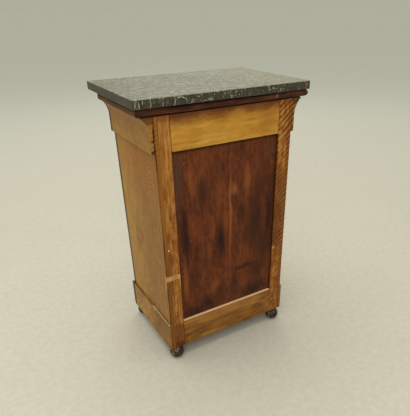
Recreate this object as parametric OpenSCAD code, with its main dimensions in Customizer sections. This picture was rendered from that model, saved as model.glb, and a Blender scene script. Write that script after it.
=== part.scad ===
// Bedside pot cupboard: a loose marble slab on a carcass whose sides flare out
// below a bull-nosed moulding, with a frieze drawer over a cupboard door, a low
// plinth and four turned feet. The back is a frame round two plain boards.
// Millimetres. The origin is on the floor under the middle of the slab. The front
// faces -Y and the back +Y; left and right are as seen from the front.

/* [Overall] */
// Height from the floor to the top of the slab
total_h = 762; // [700:1:830]
// Width of the carcass over its side panels
carcass_w = 400; // [350:1:480]
// Depth of the carcass from its front frame to its back frame
carcass_d = 281; // [250:1:330]

/* [Marble slab] */
// Thickness of the slab
slab_t = 20; // [15:0.5:30]
// Overhang of the slab past each side panel
side_overhang = 46; // [36:0.5:60]
// Overhang of the slab past the back frame
back_overhang = 12; // [8:0.5:20]
// Overhang of the slab past the front frame
front_overhang = 37; // [34:0.5:50]
// Chamfer along the edges of the slab
slab_chamfer = 1.2; // [0.4:0.1:3]
// Radius of the slab's upright corners
slab_corner_r = 3; // [1:0.5:10]

/* [Moulding and frieze] */
// Thickness of the moulding boards, which have a half-round outer edge over a fillet
moulding_t = 21; // [14:0.5:26]
// Height of that fillet
moulding_fillet_h = 2.5; // [1:0.5:4]
// Width of the moulding boards
moulding_w = 60; // [50:1:80]
// Distance of the moulding's edge behind the edge of the slab
moulding_inset = 3.5; // [1:0.5:8]
// Height of the frieze, which the drawer front shares
frieze_h = 85; // [78:1:110]
// How far the frieze stands out from the side panels at its lower edge
frieze_proud = 8.5; // [4:0.5:12]
// Height of the hollow curve at the top of the frieze
cavetto_h = 41; // [32:1:56]
// Distance of that curve's top, and of the fillet, behind the rounding of the moulding
frieze_lip = 5; // [2:0.5:8]
// Length over which the front ends of the side mouldings are cut back at a slant
moulding_end_cut = 33; // [10:1:60]

/* [Carcass] */
// Thickness of the side panels
side_t = 12; // [9:0.5:18]
// Thickness of the back frame
back_t = 22; // [18:0.5:28]
// Width of each back stile beside the edge of its side panel
back_stile_w = 30; // [26:1:45]
// Thickness of the back boards
back_board_t = 8; // [5:0.5:10]
// Depth of the back boards behind the face of the back frame
back_board_recess = 7; // [4:0.5:9]
// Place of the seam between the back boards, from the middle
back_seam_x = -5; // [-40:1:40]
// Thickness of the front frame
front_t = 20; // [18:0.5:26]
// Width of each front stile
front_stile_w = 41; // [34:1:50]
// Height of the rail between the drawer and the door
divider_h = 26; // [20:1:36]
// Height of the rail over the drawer
front_top_rail_h = 16; // [14:0.5:22]
// Height of the plinth
plinth_h = 91; // [80:1:120]
// How far the plinth stands out from the carcass
plinth_proud = 6; // [2:0.5:9]
// Thickness of the frame tenons
tenon_t = 8; // [6:0.5:9]
// Length of the frame tenons
tenon_l = 16; // [10:0.5:17]
// Shoulder over and under each wide tenon
tenon_shoulder = 12; // [8:1:16]
// Depth of the grooves that hold boards and panels
groove_d = 6; // [4:0.5:8]

/* [Cupboard inside] */
// Thickness of the cupboard floor and of the shelf
shelf_t = 12; // [9:0.5:18]
// Height of the floor's front edge over the plinth, where it stops the door
floor_stop_h = 7; // [5:0.5:12]
// Height of the space under the shelf
lower_space_h = 234; // [180:1:270]
// Width of the bearers under the floor and the cleats under the shelf
cleat_w = 14; // [10:1:20]
// Height of the bearers and the cleats
cleat_h = 16; // [12:1:24]
// Distance of the shelf behind the front frame
shelf_setback = 11; // [10.5:0.5:30]
// Thickness of the dust board under the drawer
dust_board_t = 6; // [4:0.5:8]
// Width of the door stop strip
door_stop_w = 12; // [10:0.5:16]
// Depth of the door stop strip
door_stop_d = 10; // [6:0.5:10]
// How far the strip reaches behind the door's edge
door_stop_lap = 5; // [3:0.5:7]

/* [Feet] */
// Height of each foot below the carcass
foot_h = 40; // [32:1:48]
// Radius of the turned ball
foot_r = 21.5; // [18:0.5:25]
// Height of the collar over the ball
foot_collar_h = 3.5; // [2:0.5:9]
// Radius of the collar
foot_collar_r = 15; // [12:0.5:18]
// Radius of the dowel that goes up into a stile
foot_dowel_r = 6; // [4:0.5:7]
// Length of that dowel
foot_dowel_h = 20; // [12:1:30]
// Distance from the outer face of a side panel to the middle of a foot
foot_inset = 18.5; // [18.5:0.5:20]
// How far up the ball is cut flat, so that it stands on a flat and meets its collar
foot_flat = 1; // [0.6:0.1:2]

/* [Drawer] */
// Thickness of the drawer sides and back
drawer_side_t = 10; // [8:0.5:12]
// Thickness of the drawer bottom
drawer_bottom_t = 6; // [4:0.5:8]
// Height of the drawer bottom over the lower edge of the sides
drawer_bottom_up = 4.6; // [3:0.2:7]
// Depth of the grooves that hold the drawer bottom
drawer_groove_d = 5; // [3:0.5:6]
// Space between the drawer and the back frame
drawer_back_space = 13; // [4:1:30]
// Distance that the drawer sides stay below the drawer opening's top
drawer_side_drop = 6; // [4:0.5:12]
// Distance that the drawer back stays below the drawer sides
drawer_back_drop = 8; // [4:1:20]
// How far the drawer front laps over the rail below the drawer
drawer_lap = 6; // [4:0.5:10]
// Length of the lapped dovetails in the drawer front
dovetail_l = 12; // [8:0.5:14]
// Number of tails on each drawer corner
dovetail_count = 3; // [2:1:4]
// Slope of the dovetails, as side to length
dovetail_slope = 0.16; // [0.1:0.01:0.2]
// Width of the runners, guides and kickers, from the side panel inwards
runner_w = 42; // [41:1:60]
// Thickness of the runners
runner_t = 20; // [14:1:24]
// Height of the guides beside the drawer
guide_h = 18; // [10:1:30]

/* [Door] */
// Thickness of the door
door_t = 19; // [18:0.5:20]
// Width of the door stiles
door_stile_w = 52; // [49:1:70]
// Height of the door's top rail
door_top_rail_h = 52; // [40:1:80]
// Height of the door's bottom rail
door_bottom_rail_h = 66; // [45:1:90]
// Thickness of the door panel
door_panel_t = 8; // [6:0.5:9]
// Depth of the panel behind the door's face
door_panel_recess = 6; // [4:0.5:8]
// Length of the door's tenons
door_tenon_l = 24; // [15:1:36]
// Width of the bead round the door panel
door_bead_w = 7; // [4:0.5:12]

/* [Hinges] */
// Height of each hinge
hinge_h = 60; // [50:1:80]
// Distance from each end of the door to the middle of a hinge
hinge_inset = 66; // [50:1:110]
// Depth of the hinge leaves in the edge of the door
hinge_leaf_w = 17; // [14:0.5:17.5]
// Thickness of the hinge leaves
hinge_leaf_t = 1.5; // [1:0.1:2]
// Radius of the hinge knuckles
knuckle_r = 3; // [2.6:0.1:3.4]
// Radius of the hinge pins
hinge_pin_r = 1.5; // [1:0.1:1.8]
// Number of knuckles on each hinge
knuckle_count = 5; // [3:2:7]
// Radius of the hinge screws
screw_r = 1.6; // [1.2:0.1:2]
// Length of the hinge screws
screw_l = 14; // [8:1:18]
// Width of the slot in a screw's head
screw_slot_w = 0.8; // [0.5:0.1:1]
// Depth of that slot
screw_slot_d = 0.4; // [0.2:0.1:0.6]
// How far the screws stand off the middle of the leaf, in turn
screw_stagger = 2; // [0:0.5:3]
// Height of the low head at each end of a hinge pin
pin_head_h = 1.2; // [0.8:0.1:2]

/* [Lock and key] */
// Width of the lock case, from the edge of the door
lock_w = 44; // [40:1:46]
// Height of the lock case
lock_h = 50; // [40:1:70]
// Thickness of the lock case
lock_t = 11; // [10:0.5:12]
// Wall of the lock case
lock_wall = 1.2; // [0.8:0.1:1.6]
// Distance from the edge of the door to the key
lock_backset = 23.5; // [21:0.5:25]
// Height of the bolt
bolt_h = 10; // [8:0.5:14]
// Thickness of the bolt
bolt_t = 5; // [4:0.5:6]
// Throw of the bolt
bolt_throw = 8; // [5:0.5:9]
// Radius of the key's shank
key_r = 2.5; // [2:0.1:3]
// Reach of the key's bit from the middle of the shank
key_bit_reach = 8; // [7:0.5:9]
// Thickness of the key's bit
key_bit_t = 2; // [1.5:0.1:2.5]
// Radius of the key's round bow
key_bow_r = 9; // [7:0.5:10]
// Thickness of the ring that forms the bow
key_bow_t = 3; // [2:0.5:3.5]
// Width of the collar between the bow and the shank
key_collar_w = 3; // [2:0.5:4]
// How far the collar stands out from the shank
key_collar_step = 1.5; // [0.5:0.5:2]
// Length of the shank in front of the escutcheon
key_shank_out = 12; // [8:1:14]
// Thickness of the escutcheon
escutcheon_t = 1.5; // [1:0.1:2]
// Height of the escutcheon
escutcheon_h = 38; // [34:1:50]
// Width of the escutcheon
escutcheon_w = 22; // [18:1:30]
// Thickness of the strike plate
strike_t = 1.5; // [1:0.1:2]
// Margin of the strike plate over and under its hole
strike_margin = 6; // [4:0.5:10]

/* [Fits] */
// Clearance round a glued tenon, dowel or board edge
glue_gap = 0.1; // [0.05:0.01:0.2]
// Clearance at the ends of loose boards
board_gap = 0.5; // [0.2:0.1:1]
// Gap round the door
door_gap = 1.5; // [1.2:0.1:2]
// Gap between the drawer and its guides, at each side
drawer_gap = 0.6; // [0.4:0.1:1]
// Gap under the drawer sides
runner_gap = 0.4; // [0.3:0.05:0.6]
// Gap between the drawer front and the moulding over it
drawer_top_gap = 1.6; // [1:0.1:3]
// Gap between the drawer front and the front frame
drawer_face_gap = 0.6; // [0.4:0.1:1]
// Running clearance round the hinge pins
pin_gap = 0.06; // [0.03:0.01:0.1]
// Gap between moving pieces of the lock and hinges
metal_gap = 0.4; // [0.3:0.05:0.5]

/* [Hidden] */
$fn = 96;

// Cutting tools reach this far past the face that they cut
eps = 1;

// Slab and carcass faces
slab_w = carcass_w + 2 * side_overhang;
slab_d = carcass_d + front_overhang + back_overhang;
half_w = carcass_w / 2;
front_y = front_overhang - slab_d / 2;
back_y = slab_d / 2 - back_overhang;
front_in = front_y + front_t;
back_in = back_y - back_t;
side_in = half_w - side_t;
slab_z = total_h - slab_t;
carcass_top = slab_z - moulding_t;
frieze_z = carcass_top - frieze_h;
plinth_top = foot_h + plinth_h;

// Moulding: its outermost line, the radius of its half-round, and how far in its fillet is
nosing_r = (moulding_t - moulding_fillet_h) / 2;
nosing_edge = nosing_r + frieze_lip;
nosing_x = slab_w / 2 - moulding_inset;
nosing_back = slab_d / 2 - moulding_inset;
nosing_front = -nosing_back;
frame_x = nosing_x - moulding_w;

// Back frame
back_open_x = side_in - back_stile_w;
board_y1 = back_y - back_board_recess;
board_y0 = board_y1 - back_board_t;
back_tenon_y = (board_y0 + board_y1) / 2;

// Front frame, drawer opening and door opening
front_open_x = half_w - front_stile_w;
drawer_floor = frieze_z + drawer_lap;
divider_z = drawer_floor - divider_h;
drawer_open_top = carcass_top - front_top_rail_h;
front_tenon_y = front_y + front_t / 2;

// Cupboard inside
floor_z = plinth_top + floor_stop_h;
shelf_z = floor_z + lower_space_h;
runner_x = side_in - runner_w;
dust_z = drawer_floor - runner_t / 2 - dust_board_t / 2;

// Feet, under the middle of the front frame and of the back frame
front_foot_y = (front_y + front_in) / 2;
back_foot_y = (back_in + back_y) / 2 - (back_t - front_t) / 2;

// Drawer
drawer_x = front_open_x - drawer_gap;
drawer_in_x = drawer_x - drawer_side_t;
drawer_z = drawer_floor + runner_gap;
drawer_side_top = drawer_open_top - drawer_side_drop;
drawer_back_y = back_in - drawer_back_space;
drawer_bottom_z = drawer_z + drawer_bottom_up;
drawer_bottom_top = drawer_bottom_z + drawer_bottom_t;
drawer_back_top = drawer_side_top - drawer_back_drop;

// Door
door_x = front_open_x - door_gap;
door_z0 = plinth_top + door_gap;
door_z1 = divider_z - door_gap;
door_back = front_y + door_t;
door_open_x = door_x - door_stile_w;
panel_z0 = door_z0 + door_bottom_rail_h;
panel_z1 = door_z1 - door_top_rail_h;
panel_y0 = front_y + door_panel_recess;
panel_y1 = panel_y0 + door_panel_t;
door_tenon_y = (panel_y0 + panel_y1) / 2;

// Hinges on the right-hand edge of the door
hinge_x = (door_x + front_open_x) / 2;
hinge_y = front_y - knuckle_r - metal_gap;
hinge_zs = [door_z0 + hinge_inset, door_z1 - hinge_inset];
knuckle_h = hinge_h / knuckle_count;
screw_pitch = hinge_h / 3;
screw_head_r = 2 * screw_r;

// Lock on the left-hand stile of the door
key_x = -door_x + lock_backset;
key_z = (door_z0 + door_z1) / 2;
lock_y0 = door_back - lock_t;
bolt_y0 = lock_y0 + (lock_t - bolt_t) / 2;
bolt_z0 = key_z + key_bit_reach / 2;
bolt_nose = -door_x + metal_gap;
bolt_tail = -door_x + lock_w - lock_wall - 2 * metal_gap;
bit_gap = key_bit_t / 2 + metal_gap;

// A board between two corners
module board(low, high) {
    translate(low) cube(high - low);
}

// Its children, and their mirror image on the left
module mirrored() {
    children();
    mirror([1, 0, 0]) children();
}

// ---- Slab ----

// A rectangle with its four corners cut off, standing on its lower edge
module chamfered_rect(w, h, c) {
    polygon([[-w / 2 + c, 0], [w / 2 - c, 0], [w / 2, c], [w / 2, h - c],
             [w / 2 - c, h], [-w / 2 + c, h], [-w / 2, h - c], [-w / 2, c]]);
}

module rounded_rect(w, d, r) {
    square([w - 2 * r, d], center = true);
    square([w, d - 2 * r], center = true);
    for (x = [-1, 1], y = [-1, 1])
        translate([x * (w / 2 - r), y * (d / 2 - r)]) circle(r);
}

module marble_top() {
    color("dimgray")
    translate([0, 0, slab_z])
    intersection() {
        linear_extrude(slab_t) rounded_rect(slab_w, slab_d, slab_corner_r);
        translate([0, slab_d / 2, 0]) rotate([90, 0, 0])
            linear_extrude(slab_d) chamfered_rect(slab_w, slab_t, slab_chamfer);
        translate([-slab_w / 2, 0, 0]) rotate([90, 0, 90])
            linear_extrude(slab_w) chamfered_rect(slab_d, slab_t, slab_chamfer);
    }
}

// ---- Moulding: flat boards with a half-round outer edge, mitred at the back ----

// The half-round in section, over its fillet
module nosing_profile(w) {
    square([w - nosing_edge, moulding_t]);
    translate([0, moulding_fillet_h]) square([w - nosing_r, moulding_t - moulding_fillet_h]);
    translate([w - nosing_r, moulding_t - nosing_r]) circle(nosing_r);
}

// A moulding board along Y, its inner edge at x = 0
module nosing_bar(w, l) {
    translate([0, l, 0]) rotate([90, 0, 0]) linear_extrude(l) nosing_profile(w);
}

module top_moulding_side() {
    length = nosing_back - front_y;
    color("saddlebrown")
    intersection() {
        translate([frame_x, front_y, carcass_top]) nosing_bar(moulding_w, length);
        translate([0, 0, carcass_top]) linear_extrude(moulding_t)
            polygon([[frame_x, front_y], [nosing_x - nosing_edge, front_y],
                     [nosing_x, front_y + moulding_end_cut], [nosing_x, nosing_back],
                     [frame_x, nosing_back - moulding_w]]);
    }
}

module top_moulding_right() { top_moulding_side(); }

module top_moulding_left() { mirror([1, 0, 0]) top_moulding_side(); }

module top_moulding_back() {
    inner_y = nosing_back - moulding_w;
    color("saddlebrown")
    intersection() {
        translate([nosing_x, inner_y, carcass_top]) rotate([0, 0, 90])
            nosing_bar(moulding_w, 2 * nosing_x);
        translate([0, 0, carcass_top]) linear_extrude(moulding_t)
            polygon([[frame_x, inner_y], [nosing_x, nosing_back],
                     [-nosing_x, nosing_back], [-frame_x, inner_y]]);
    }
}

module top_moulding_front() {
    inner_y = nosing_front + moulding_w;
    color("saddlebrown") {
        intersection() {
            translate([-half_w, inner_y, carcass_top]) rotate([0, 0, -90])
                nosing_bar(moulding_w, carcass_w);
            board([-half_w, nosing_front, carcass_top], [half_w, front_y, slab_z]);
        }
        board([-frame_x, front_y, carcass_top], [frame_x, inner_y, slab_z]);
    }
}

// ---- Frieze: a plain band below and a hollow curve that runs out to the moulding ----

// The frieze in section: its flat back on the Y axis, its flare reaching "reach"
module frieze_profile(reach, h) {
    flare = reach - frieze_proud;
    hollow_r = (flare * flare + cavetto_h * cavetto_h) / (2 * flare);
    intersection() {
        square([reach, h]);
        union() {
            square([frieze_proud, frieze_h]);
            translate([frieze_proud, frieze_h - cavetto_h])
                difference() {
                    translate([-eps, 0]) square([flare + eps, cavetto_h]);
                    translate([hollow_r, 0]) circle(hollow_r);
                }
        }
    }
}

module side_frieze() {
    reach = nosing_x - nosing_edge - half_w;
    color("peru")
    translate([half_w, back_y, frieze_z]) rotate([90, 0, 0])
        linear_extrude(back_y - front_y) frieze_profile(reach, frieze_h);
}

module side_frieze_right() { side_frieze(); }

module side_frieze_left() { mirror([1, 0, 0]) side_frieze(); }

// ---- Sides and plinth ----

module side_panel() {
    color("peru")
    board([side_in, front_in, foot_h], [half_w, back_y, carcass_top]);
}

module side_panel_right() { side_panel(); }

module side_panel_left() { mirror([1, 0, 0]) side_panel(); }

module side_plinth() {
    outer = half_w + plinth_proud;
    color("peru")
    translate([0, 0, foot_h]) linear_extrude(plinth_h)
        polygon([[half_w, front_y], [outer, front_y - plinth_proud],
                 [outer, back_y], [half_w, back_y]]);
}

module side_plinth_right() { side_plinth(); }

module side_plinth_left() { mirror([1, 0, 0]) side_plinth(); }

module front_plinth() {
    outer = half_w + plinth_proud;
    color("saddlebrown")
    translate([0, 0, foot_h]) linear_extrude(plinth_h)
        polygon([[-half_w, front_y], [-outer, front_y - plinth_proud],
                 [outer, front_y - plinth_proud], [half_w, front_y]]);
}

// ---- Frames: rails with a tenon at each end, and stiles with the mortises ----

// A rail along X; the tenon's middle is at tenon_y, and gap widens it to a mortise
module rail_tenons(half_l, l, z0, z1, tenon_y, gap = 0) {
    mirrored()
        board([half_l - (gap > 0 ? eps : 0), tenon_y - tenon_t / 2 - gap, z0 - gap],
              [half_l + l + gap, tenon_y + tenon_t / 2 + gap, z1 + gap]);
}

// Lower and upper end of a tenon on a rail from z0 to z1
function tenon_low(z0, z1) = z0 + min(tenon_shoulder, (z1 - z0) / 4);
function tenon_high(z0, z1) = z1 - min(tenon_shoulder, (z1 - z0) / 4);

module rail(half_l, l, z0, z1, y0, y1, tenon_y) {
    board([-half_l, y0, z0], [half_l, y1, z1]);
    rail_tenons(half_l, l, tenon_low(z0, z1), tenon_high(z0, z1), tenon_y);
}

module mortise(half_l, l, z0, z1, tenon_y) {
    rail_tenons(half_l, l, tenon_low(z0, z1), tenon_high(z0, z1), tenon_y, glue_gap);
}

// The hole for a foot's dowel, in the lower end of a stile
module foot_hole(y) {
    translate([half_w - foot_inset, y, foot_h - eps])
        cylinder(r = foot_dowel_r + glue_gap, h = foot_dowel_h + glue_gap + eps);
}

// The room that the two back boards take up in the frame
module back_board_space(gap) {
    board([-back_open_x - groove_d, board_y0 - gap, plinth_top - groove_d],
          [back_open_x + groove_d, board_y1 + gap, frieze_z + groove_d]);
}

module back_stile() {
    color("chocolate")
    difference() {
        board([back_open_x, back_in, foot_h], [side_in, back_y, carcass_top]);
        back_board_space(glue_gap);
        mortise(back_open_x, tenon_l, foot_h, plinth_top, back_tenon_y);
        mortise(back_open_x, tenon_l, frieze_z, carcass_top, back_tenon_y);
        foot_hole(back_foot_y);
    }
}

module back_stile_right() { back_stile(); }

module back_stile_left() { mirror([1, 0, 0]) back_stile(); }

module back_rail(z0, z1) {
    difference() {
        rail(back_open_x, tenon_l, z0, z1, back_in, back_y, back_tenon_y);
        intersection() {
            back_board_space(glue_gap);
            board([-back_open_x, back_in, foot_h], [back_open_x, back_y, carcass_top]);
        }
    }
}

module back_top_rail() { color("goldenrod") back_rail(frieze_z, carcass_top); }

module back_bottom_rail() { color("goldenrod") back_rail(foot_h, plinth_top); }

module back_board(x0, x1) {
    color("maroon")
    board([x0, board_y0, plinth_top - groove_d + board_gap],
          [x1, board_y1, frieze_z + groove_d - board_gap]);
}

module back_board_right() {
    back_board(back_seam_x + glue_gap, back_open_x + groove_d - board_gap);
}

module back_board_left() {
    back_board(-back_open_x - groove_d + board_gap, back_seam_x - glue_gap);
}

module front_mortises() {
    mortise(front_open_x, tenon_l, foot_h, plinth_top, front_tenon_y);
    mortise(front_open_x, tenon_l, divider_z, drawer_floor, front_tenon_y);
    mortise(front_open_x, tenon_l, drawer_open_top, carcass_top, front_tenon_y);
}

module front_stile() {
    difference() {
        board([front_open_x, front_y, foot_h], [half_w, front_in, carcass_top]);
        front_mortises();
        foot_hole(front_foot_y);
    }
}

module front_stile_right() {
    color("brown")
    difference() {
        front_stile();
        for (z = hinge_zs) translate([0, 0, z]) {
            hinge_recess(front_open_x, 1);
            screw_holes(front_open_x, 1);
        }
    }
}

module front_stile_left() {
    color("brown")
    difference() {
        mirror([1, 0, 0]) front_stile();
        strike_space(glue_gap);
    }
}

module front_rail(z0, z1) {
    color("brown")
    rail(front_open_x, tenon_l, z0, z1, front_y, front_in, front_tenon_y);
}

module front_top_rail() { front_rail(drawer_open_top, carcass_top); }

module drawer_divider_rail() { front_rail(divider_z, drawer_floor); }

module front_bottom_rail() { front_rail(foot_h, plinth_top); }

// ---- Inside of the cupboard ----

module cupboard_floor() {
    color("burlywood")
    board([-side_in + board_gap, front_in, floor_z - shelf_t],
          [side_in - board_gap, back_in, floor_z]);
}

module strip_at_side(w, y0, y1, z0, z1) {
    color("burlywood") board([side_in - w, y0, z0], [side_in, y1, z1]);
}

module floor_bearer() {
    top = floor_z - shelf_t;
    strip_at_side(cleat_w, front_in, back_in, top - cleat_h, top);
}

module floor_bearer_right() { floor_bearer(); }

module floor_bearer_left() { mirror([1, 0, 0]) floor_bearer(); }

module shelf() {
    color("burlywood")
    board([-side_in + board_gap, front_in + shelf_setback, shelf_z],
          [side_in - board_gap, back_in, shelf_z + shelf_t]);
}

module shelf_cleat() {
    strip_at_side(cleat_w, front_in + shelf_setback, back_in, shelf_z - cleat_h, shelf_z);
}

module shelf_cleat_right() { shelf_cleat(); }

module shelf_cleat_left() { mirror([1, 0, 0]) shelf_cleat(); }

// The dust board lies in a groove along each runner
module dust_board_space(gap) {
    reach = runner_x + groove_d + (gap > 0 ? 0 : -board_gap);
    board([-reach, front_in - gap, dust_z - gap], [reach, back_in + gap, dust_z + dust_board_t + gap]);
}

module dust_board() { color("burlywood") dust_board_space(0); }

module drawer_runner() {
    difference() {
        strip_at_side(runner_w, front_in, back_in, drawer_floor - runner_t, drawer_floor);
        dust_board_space(glue_gap);
    }
}

module drawer_runner_right() { drawer_runner(); }

module drawer_runner_left() { mirror([1, 0, 0]) drawer_runner(); }

module drawer_guides() {
    guide_w = side_in - drawer_x - drawer_gap;
    mirrored()
        strip_at_side(guide_w, front_in, back_in, drawer_floor, drawer_floor + guide_h);
}

module drawer_kickers() {
    mirrored() strip_at_side(runner_w, front_in, back_in, drawer_open_top, carcass_top);
}

module door_stop_strip() {
    x1 = -door_x + door_stop_lap;
    color("burlywood")
    board([x1 - door_stop_w, front_in, floor_z], [x1, front_in + door_stop_d, divider_z]);
}

// ---- Feet: a turned ball under a collar, with a dowel up into the stile ----

module foot(y) {
    ball_r = (foot_h - foot_collar_h) / 2 + foot_flat;
    core_r = foot_r - ball_r;
    color("#3a2118")
    translate([half_w - foot_inset, y, 0]) {
        rotate_extrude() {
            intersection() {
                union() {
                    translate([core_r, ball_r - foot_flat]) circle(ball_r);
                    if (core_r > 0) square([core_r, foot_h]);
                }
                square([foot_r, foot_h]);
            }
            translate([0, foot_h - foot_collar_h])
                square([foot_collar_r, foot_collar_h]);
        }
        translate([0, 0, foot_h]) cylinder(r = foot_dowel_r, h = foot_dowel_h);
    }
}

module foot_front_right() { foot(front_foot_y); }

module foot_front_left() { mirror([1, 0, 0]) foot(front_foot_y); }

module foot_back_right() { foot(back_foot_y); }

module foot_back_left() { mirror([1, 0, 0]) foot(back_foot_y); }

// ---- Drawer ----

// Tails along a drawer side's end: the narrow end at y = 0, the wide end at y = l
module tails(l, z0, z1, gap = 0) {
    pitch = (z1 - z0) / dovetail_count;
    narrow = pitch / 2;
    wide = narrow + 2 * dovetail_slope * l;
    for (i = [0 : dovetail_count - 1])
        translate([drawer_in_x, 0, z0 + (i + 0.5) * pitch])
        rotate([90, 0, 90])
        linear_extrude(drawer_side_t)
            polygon([[-gap, -narrow / 2 - gap], [l + gap, -wide / 2 - gap],
                     [l + gap, wide / 2 + gap], [-gap, narrow / 2 + gap]]);
}

// The tails at the front run forward from the back face of the front's inner block
module front_tails(gap = 0) {
    translate([0, front_in, 0]) mirror([0, 1, 0])
        tails(dovetail_l, drawer_z, drawer_side_top, gap);
}

module back_tails(gap = 0) {
    translate([0, drawer_back_y - drawer_side_t, 0])
        tails(drawer_side_t, drawer_bottom_top, drawer_back_top, gap);
}

module drawer_bottom_space(gap) {
    front_edge = front_in - drawer_groove_d;
    reach = drawer_in_x + drawer_groove_d - (gap > 0 ? 0 : board_gap);
    board([-reach, front_in, drawer_bottom_z - gap], [reach, drawer_back_y, drawer_bottom_top + gap]);
    board([-drawer_in_x + board_gap - gap, front_edge + (gap > 0 ? 0 : board_gap), drawer_bottom_z - gap],
          [drawer_in_x - board_gap + gap, front_in, drawer_bottom_top + gap]);
}

module drawer_front() {
    reach = front_y - nosing_front - nosing_edge;
    height = frieze_h - drawer_top_gap;
    color("brown")
    difference() {
        union() {
            translate([-half_w, front_y, frieze_z]) mirror([0, 1, 0]) rotate([90, 0, 90])
                linear_extrude(carcass_w)
                    intersection() {
                        frieze_profile(reach, height);
                        translate([drawer_face_gap, 0]) square([reach, frieze_h]);
                    }
            board([-drawer_x, front_y - drawer_face_gap - eps, drawer_z],
                  [drawer_x, front_in, drawer_open_top - drawer_side_drop / 2]);
        }
        mirrored() front_tails(glue_gap);
        drawer_bottom_space(glue_gap);
    }
}

module drawer_side() {
    color("tan")
    difference() {
        union() {
            board([drawer_in_x, front_in, drawer_z], [drawer_x, drawer_back_y, drawer_side_top]);
            front_tails();
        }
        difference() {
            board([drawer_in_x - eps, drawer_back_y - drawer_side_t, drawer_bottom_top],
                  [drawer_x + eps, drawer_back_y + eps, drawer_back_top]);
            back_tails();
        }
        drawer_bottom_space(glue_gap);
    }
}

module drawer_side_right() { drawer_side(); }

module drawer_side_left() { mirror([1, 0, 0]) drawer_side(); }

module drawer_back() {
    color("tan")
    difference() {
        board([-drawer_x, drawer_back_y - drawer_side_t, drawer_bottom_top + glue_gap],
              [drawer_x, drawer_back_y, drawer_back_top - glue_gap]);
        mirrored() back_tails(glue_gap);
    }
}

module drawer_bottom() { color("burlywood") drawer_bottom_space(0); }

// ---- Door ----

module door_panel_space(gap) {
    board([-door_open_x - groove_d, panel_y0 - gap, panel_z0 - groove_d],
          [door_open_x + groove_d, panel_y1 + gap, panel_z1 + groove_d]);
}

module door_stile() {
    difference() {
        board([door_open_x, front_y, door_z0], [door_x, door_back, door_z1]);
        door_panel_space(glue_gap);
        mortise(door_open_x, door_tenon_l, door_z0, panel_z0, door_tenon_y);
        mortise(door_open_x, door_tenon_l, panel_z1, door_z1, door_tenon_y);
    }
}

module door_hinge_stile() {
    color("brown")
    difference() {
        door_stile();
        for (z = hinge_zs) translate([0, 0, z]) {
            hinge_recess(door_x, -1);
            screw_holes(door_x, -1);
        }
    }
}

module door_lock_stile() {
    color("brown")
    difference() {
        mirror([1, 0, 0]) door_stile();
        lock_space(glue_gap);
        keyhole(front_y - eps, lock_y0 + eps);
    }
}

module door_rail(z0, z1) {
    color("brown")
    difference() {
        rail(door_open_x, door_tenon_l, z0, z1, front_y, door_back, door_tenon_y);
        intersection() {
            door_panel_space(glue_gap);
            board([-door_open_x, front_y, door_z0], [door_open_x, door_back, door_z1]);
        }
    }
}

module door_bottom_rail() { door_rail(door_z0, panel_z0); }

module door_top_rail() { door_rail(panel_z1, door_z1); }

module door_panel() {
    edge = groove_d - board_gap;
    color("firebrick")
    board([-door_open_x - edge, panel_y0, panel_z0 - edge],
          [door_open_x + edge, panel_y1, panel_z1 + edge]);
}

// A quarter-round bead in the corner between the panel and the frame, mitred
module bead(length) {
    end = length / 2 - glue_gap;
    intersection() {
        rotate([90, 0, 90]) translate([0, 0, -length / 2]) linear_extrude(length)
            intersection() {
                square([door_panel_recess, door_bead_w]);
                translate([door_panel_recess, 0])
                    scale([door_panel_recess / door_bead_w, 1]) circle(door_bead_w);
            }
        rotate([90, 0, 0]) translate([0, 0, -door_panel_recess]) linear_extrude(door_panel_recess)
            polygon([[-end, 0], [end, 0], [end - door_bead_w, door_bead_w],
                     [door_bead_w - end, door_bead_w]]);
    }
}

module door_panel_beads() {
    mid_z = (panel_z0 + panel_z1) / 2;
    open_h = panel_z1 - panel_z0;
    color("saddlebrown")
    translate([0, front_y, mid_z]) {
        for (turn = [0, 180])
            rotate([0, turn, 0]) mirror([turn / 180, 0, 0])
                translate([0, 0, -open_h / 2]) bead(2 * door_open_x);
        for (turn = [90, 270])
            rotate([0, turn, 0]) translate([0, 0, -door_open_x]) bead(open_h);
    }
}

// ---- Hinges: two leaves with interleaved knuckles on a loose pin ----

// The leaf's place in the wood; side is 1 on the frame and -1 on the door
module hinge_recess(face_x, side) {
    x0 = side > 0 ? face_x - eps : face_x - hinge_leaf_t - glue_gap;
    x1 = side > 0 ? face_x + hinge_leaf_t + glue_gap : face_x + eps;
    board([x0, front_y - eps, -hinge_h / 2 - glue_gap],
          [x1, front_y + hinge_leaf_w + glue_gap, hinge_h / 2 + glue_gap]);
}

module at_screws(face_x, side) {
    for (i = [-1 : 1])
        translate([face_x, front_y + hinge_leaf_w / 2 + (i == 0 ? 1 : -1) * screw_stagger,
                   i * screw_pitch])
            rotate([0, side * 90, 0]) children();
}

module screw_holes(face_x, side) {
    at_screws(face_x, side) cylinder(r = screw_r + glue_gap, h = screw_l + glue_gap);
}

module screw_heads(face_x, side, gap = 0) {
    at_screws(face_x, side) translate([0, 0, -gap])
        cylinder(r1 = screw_head_r + gap, r2 = screw_r + gap, h = hinge_leaf_t + gap);
}

module knuckles(first) {
    for (i = [first : 2 : knuckle_count - 1])
        translate([hinge_x, hinge_y, -hinge_h / 2 + i * knuckle_h + metal_gap / 2])
            children();
}

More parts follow.
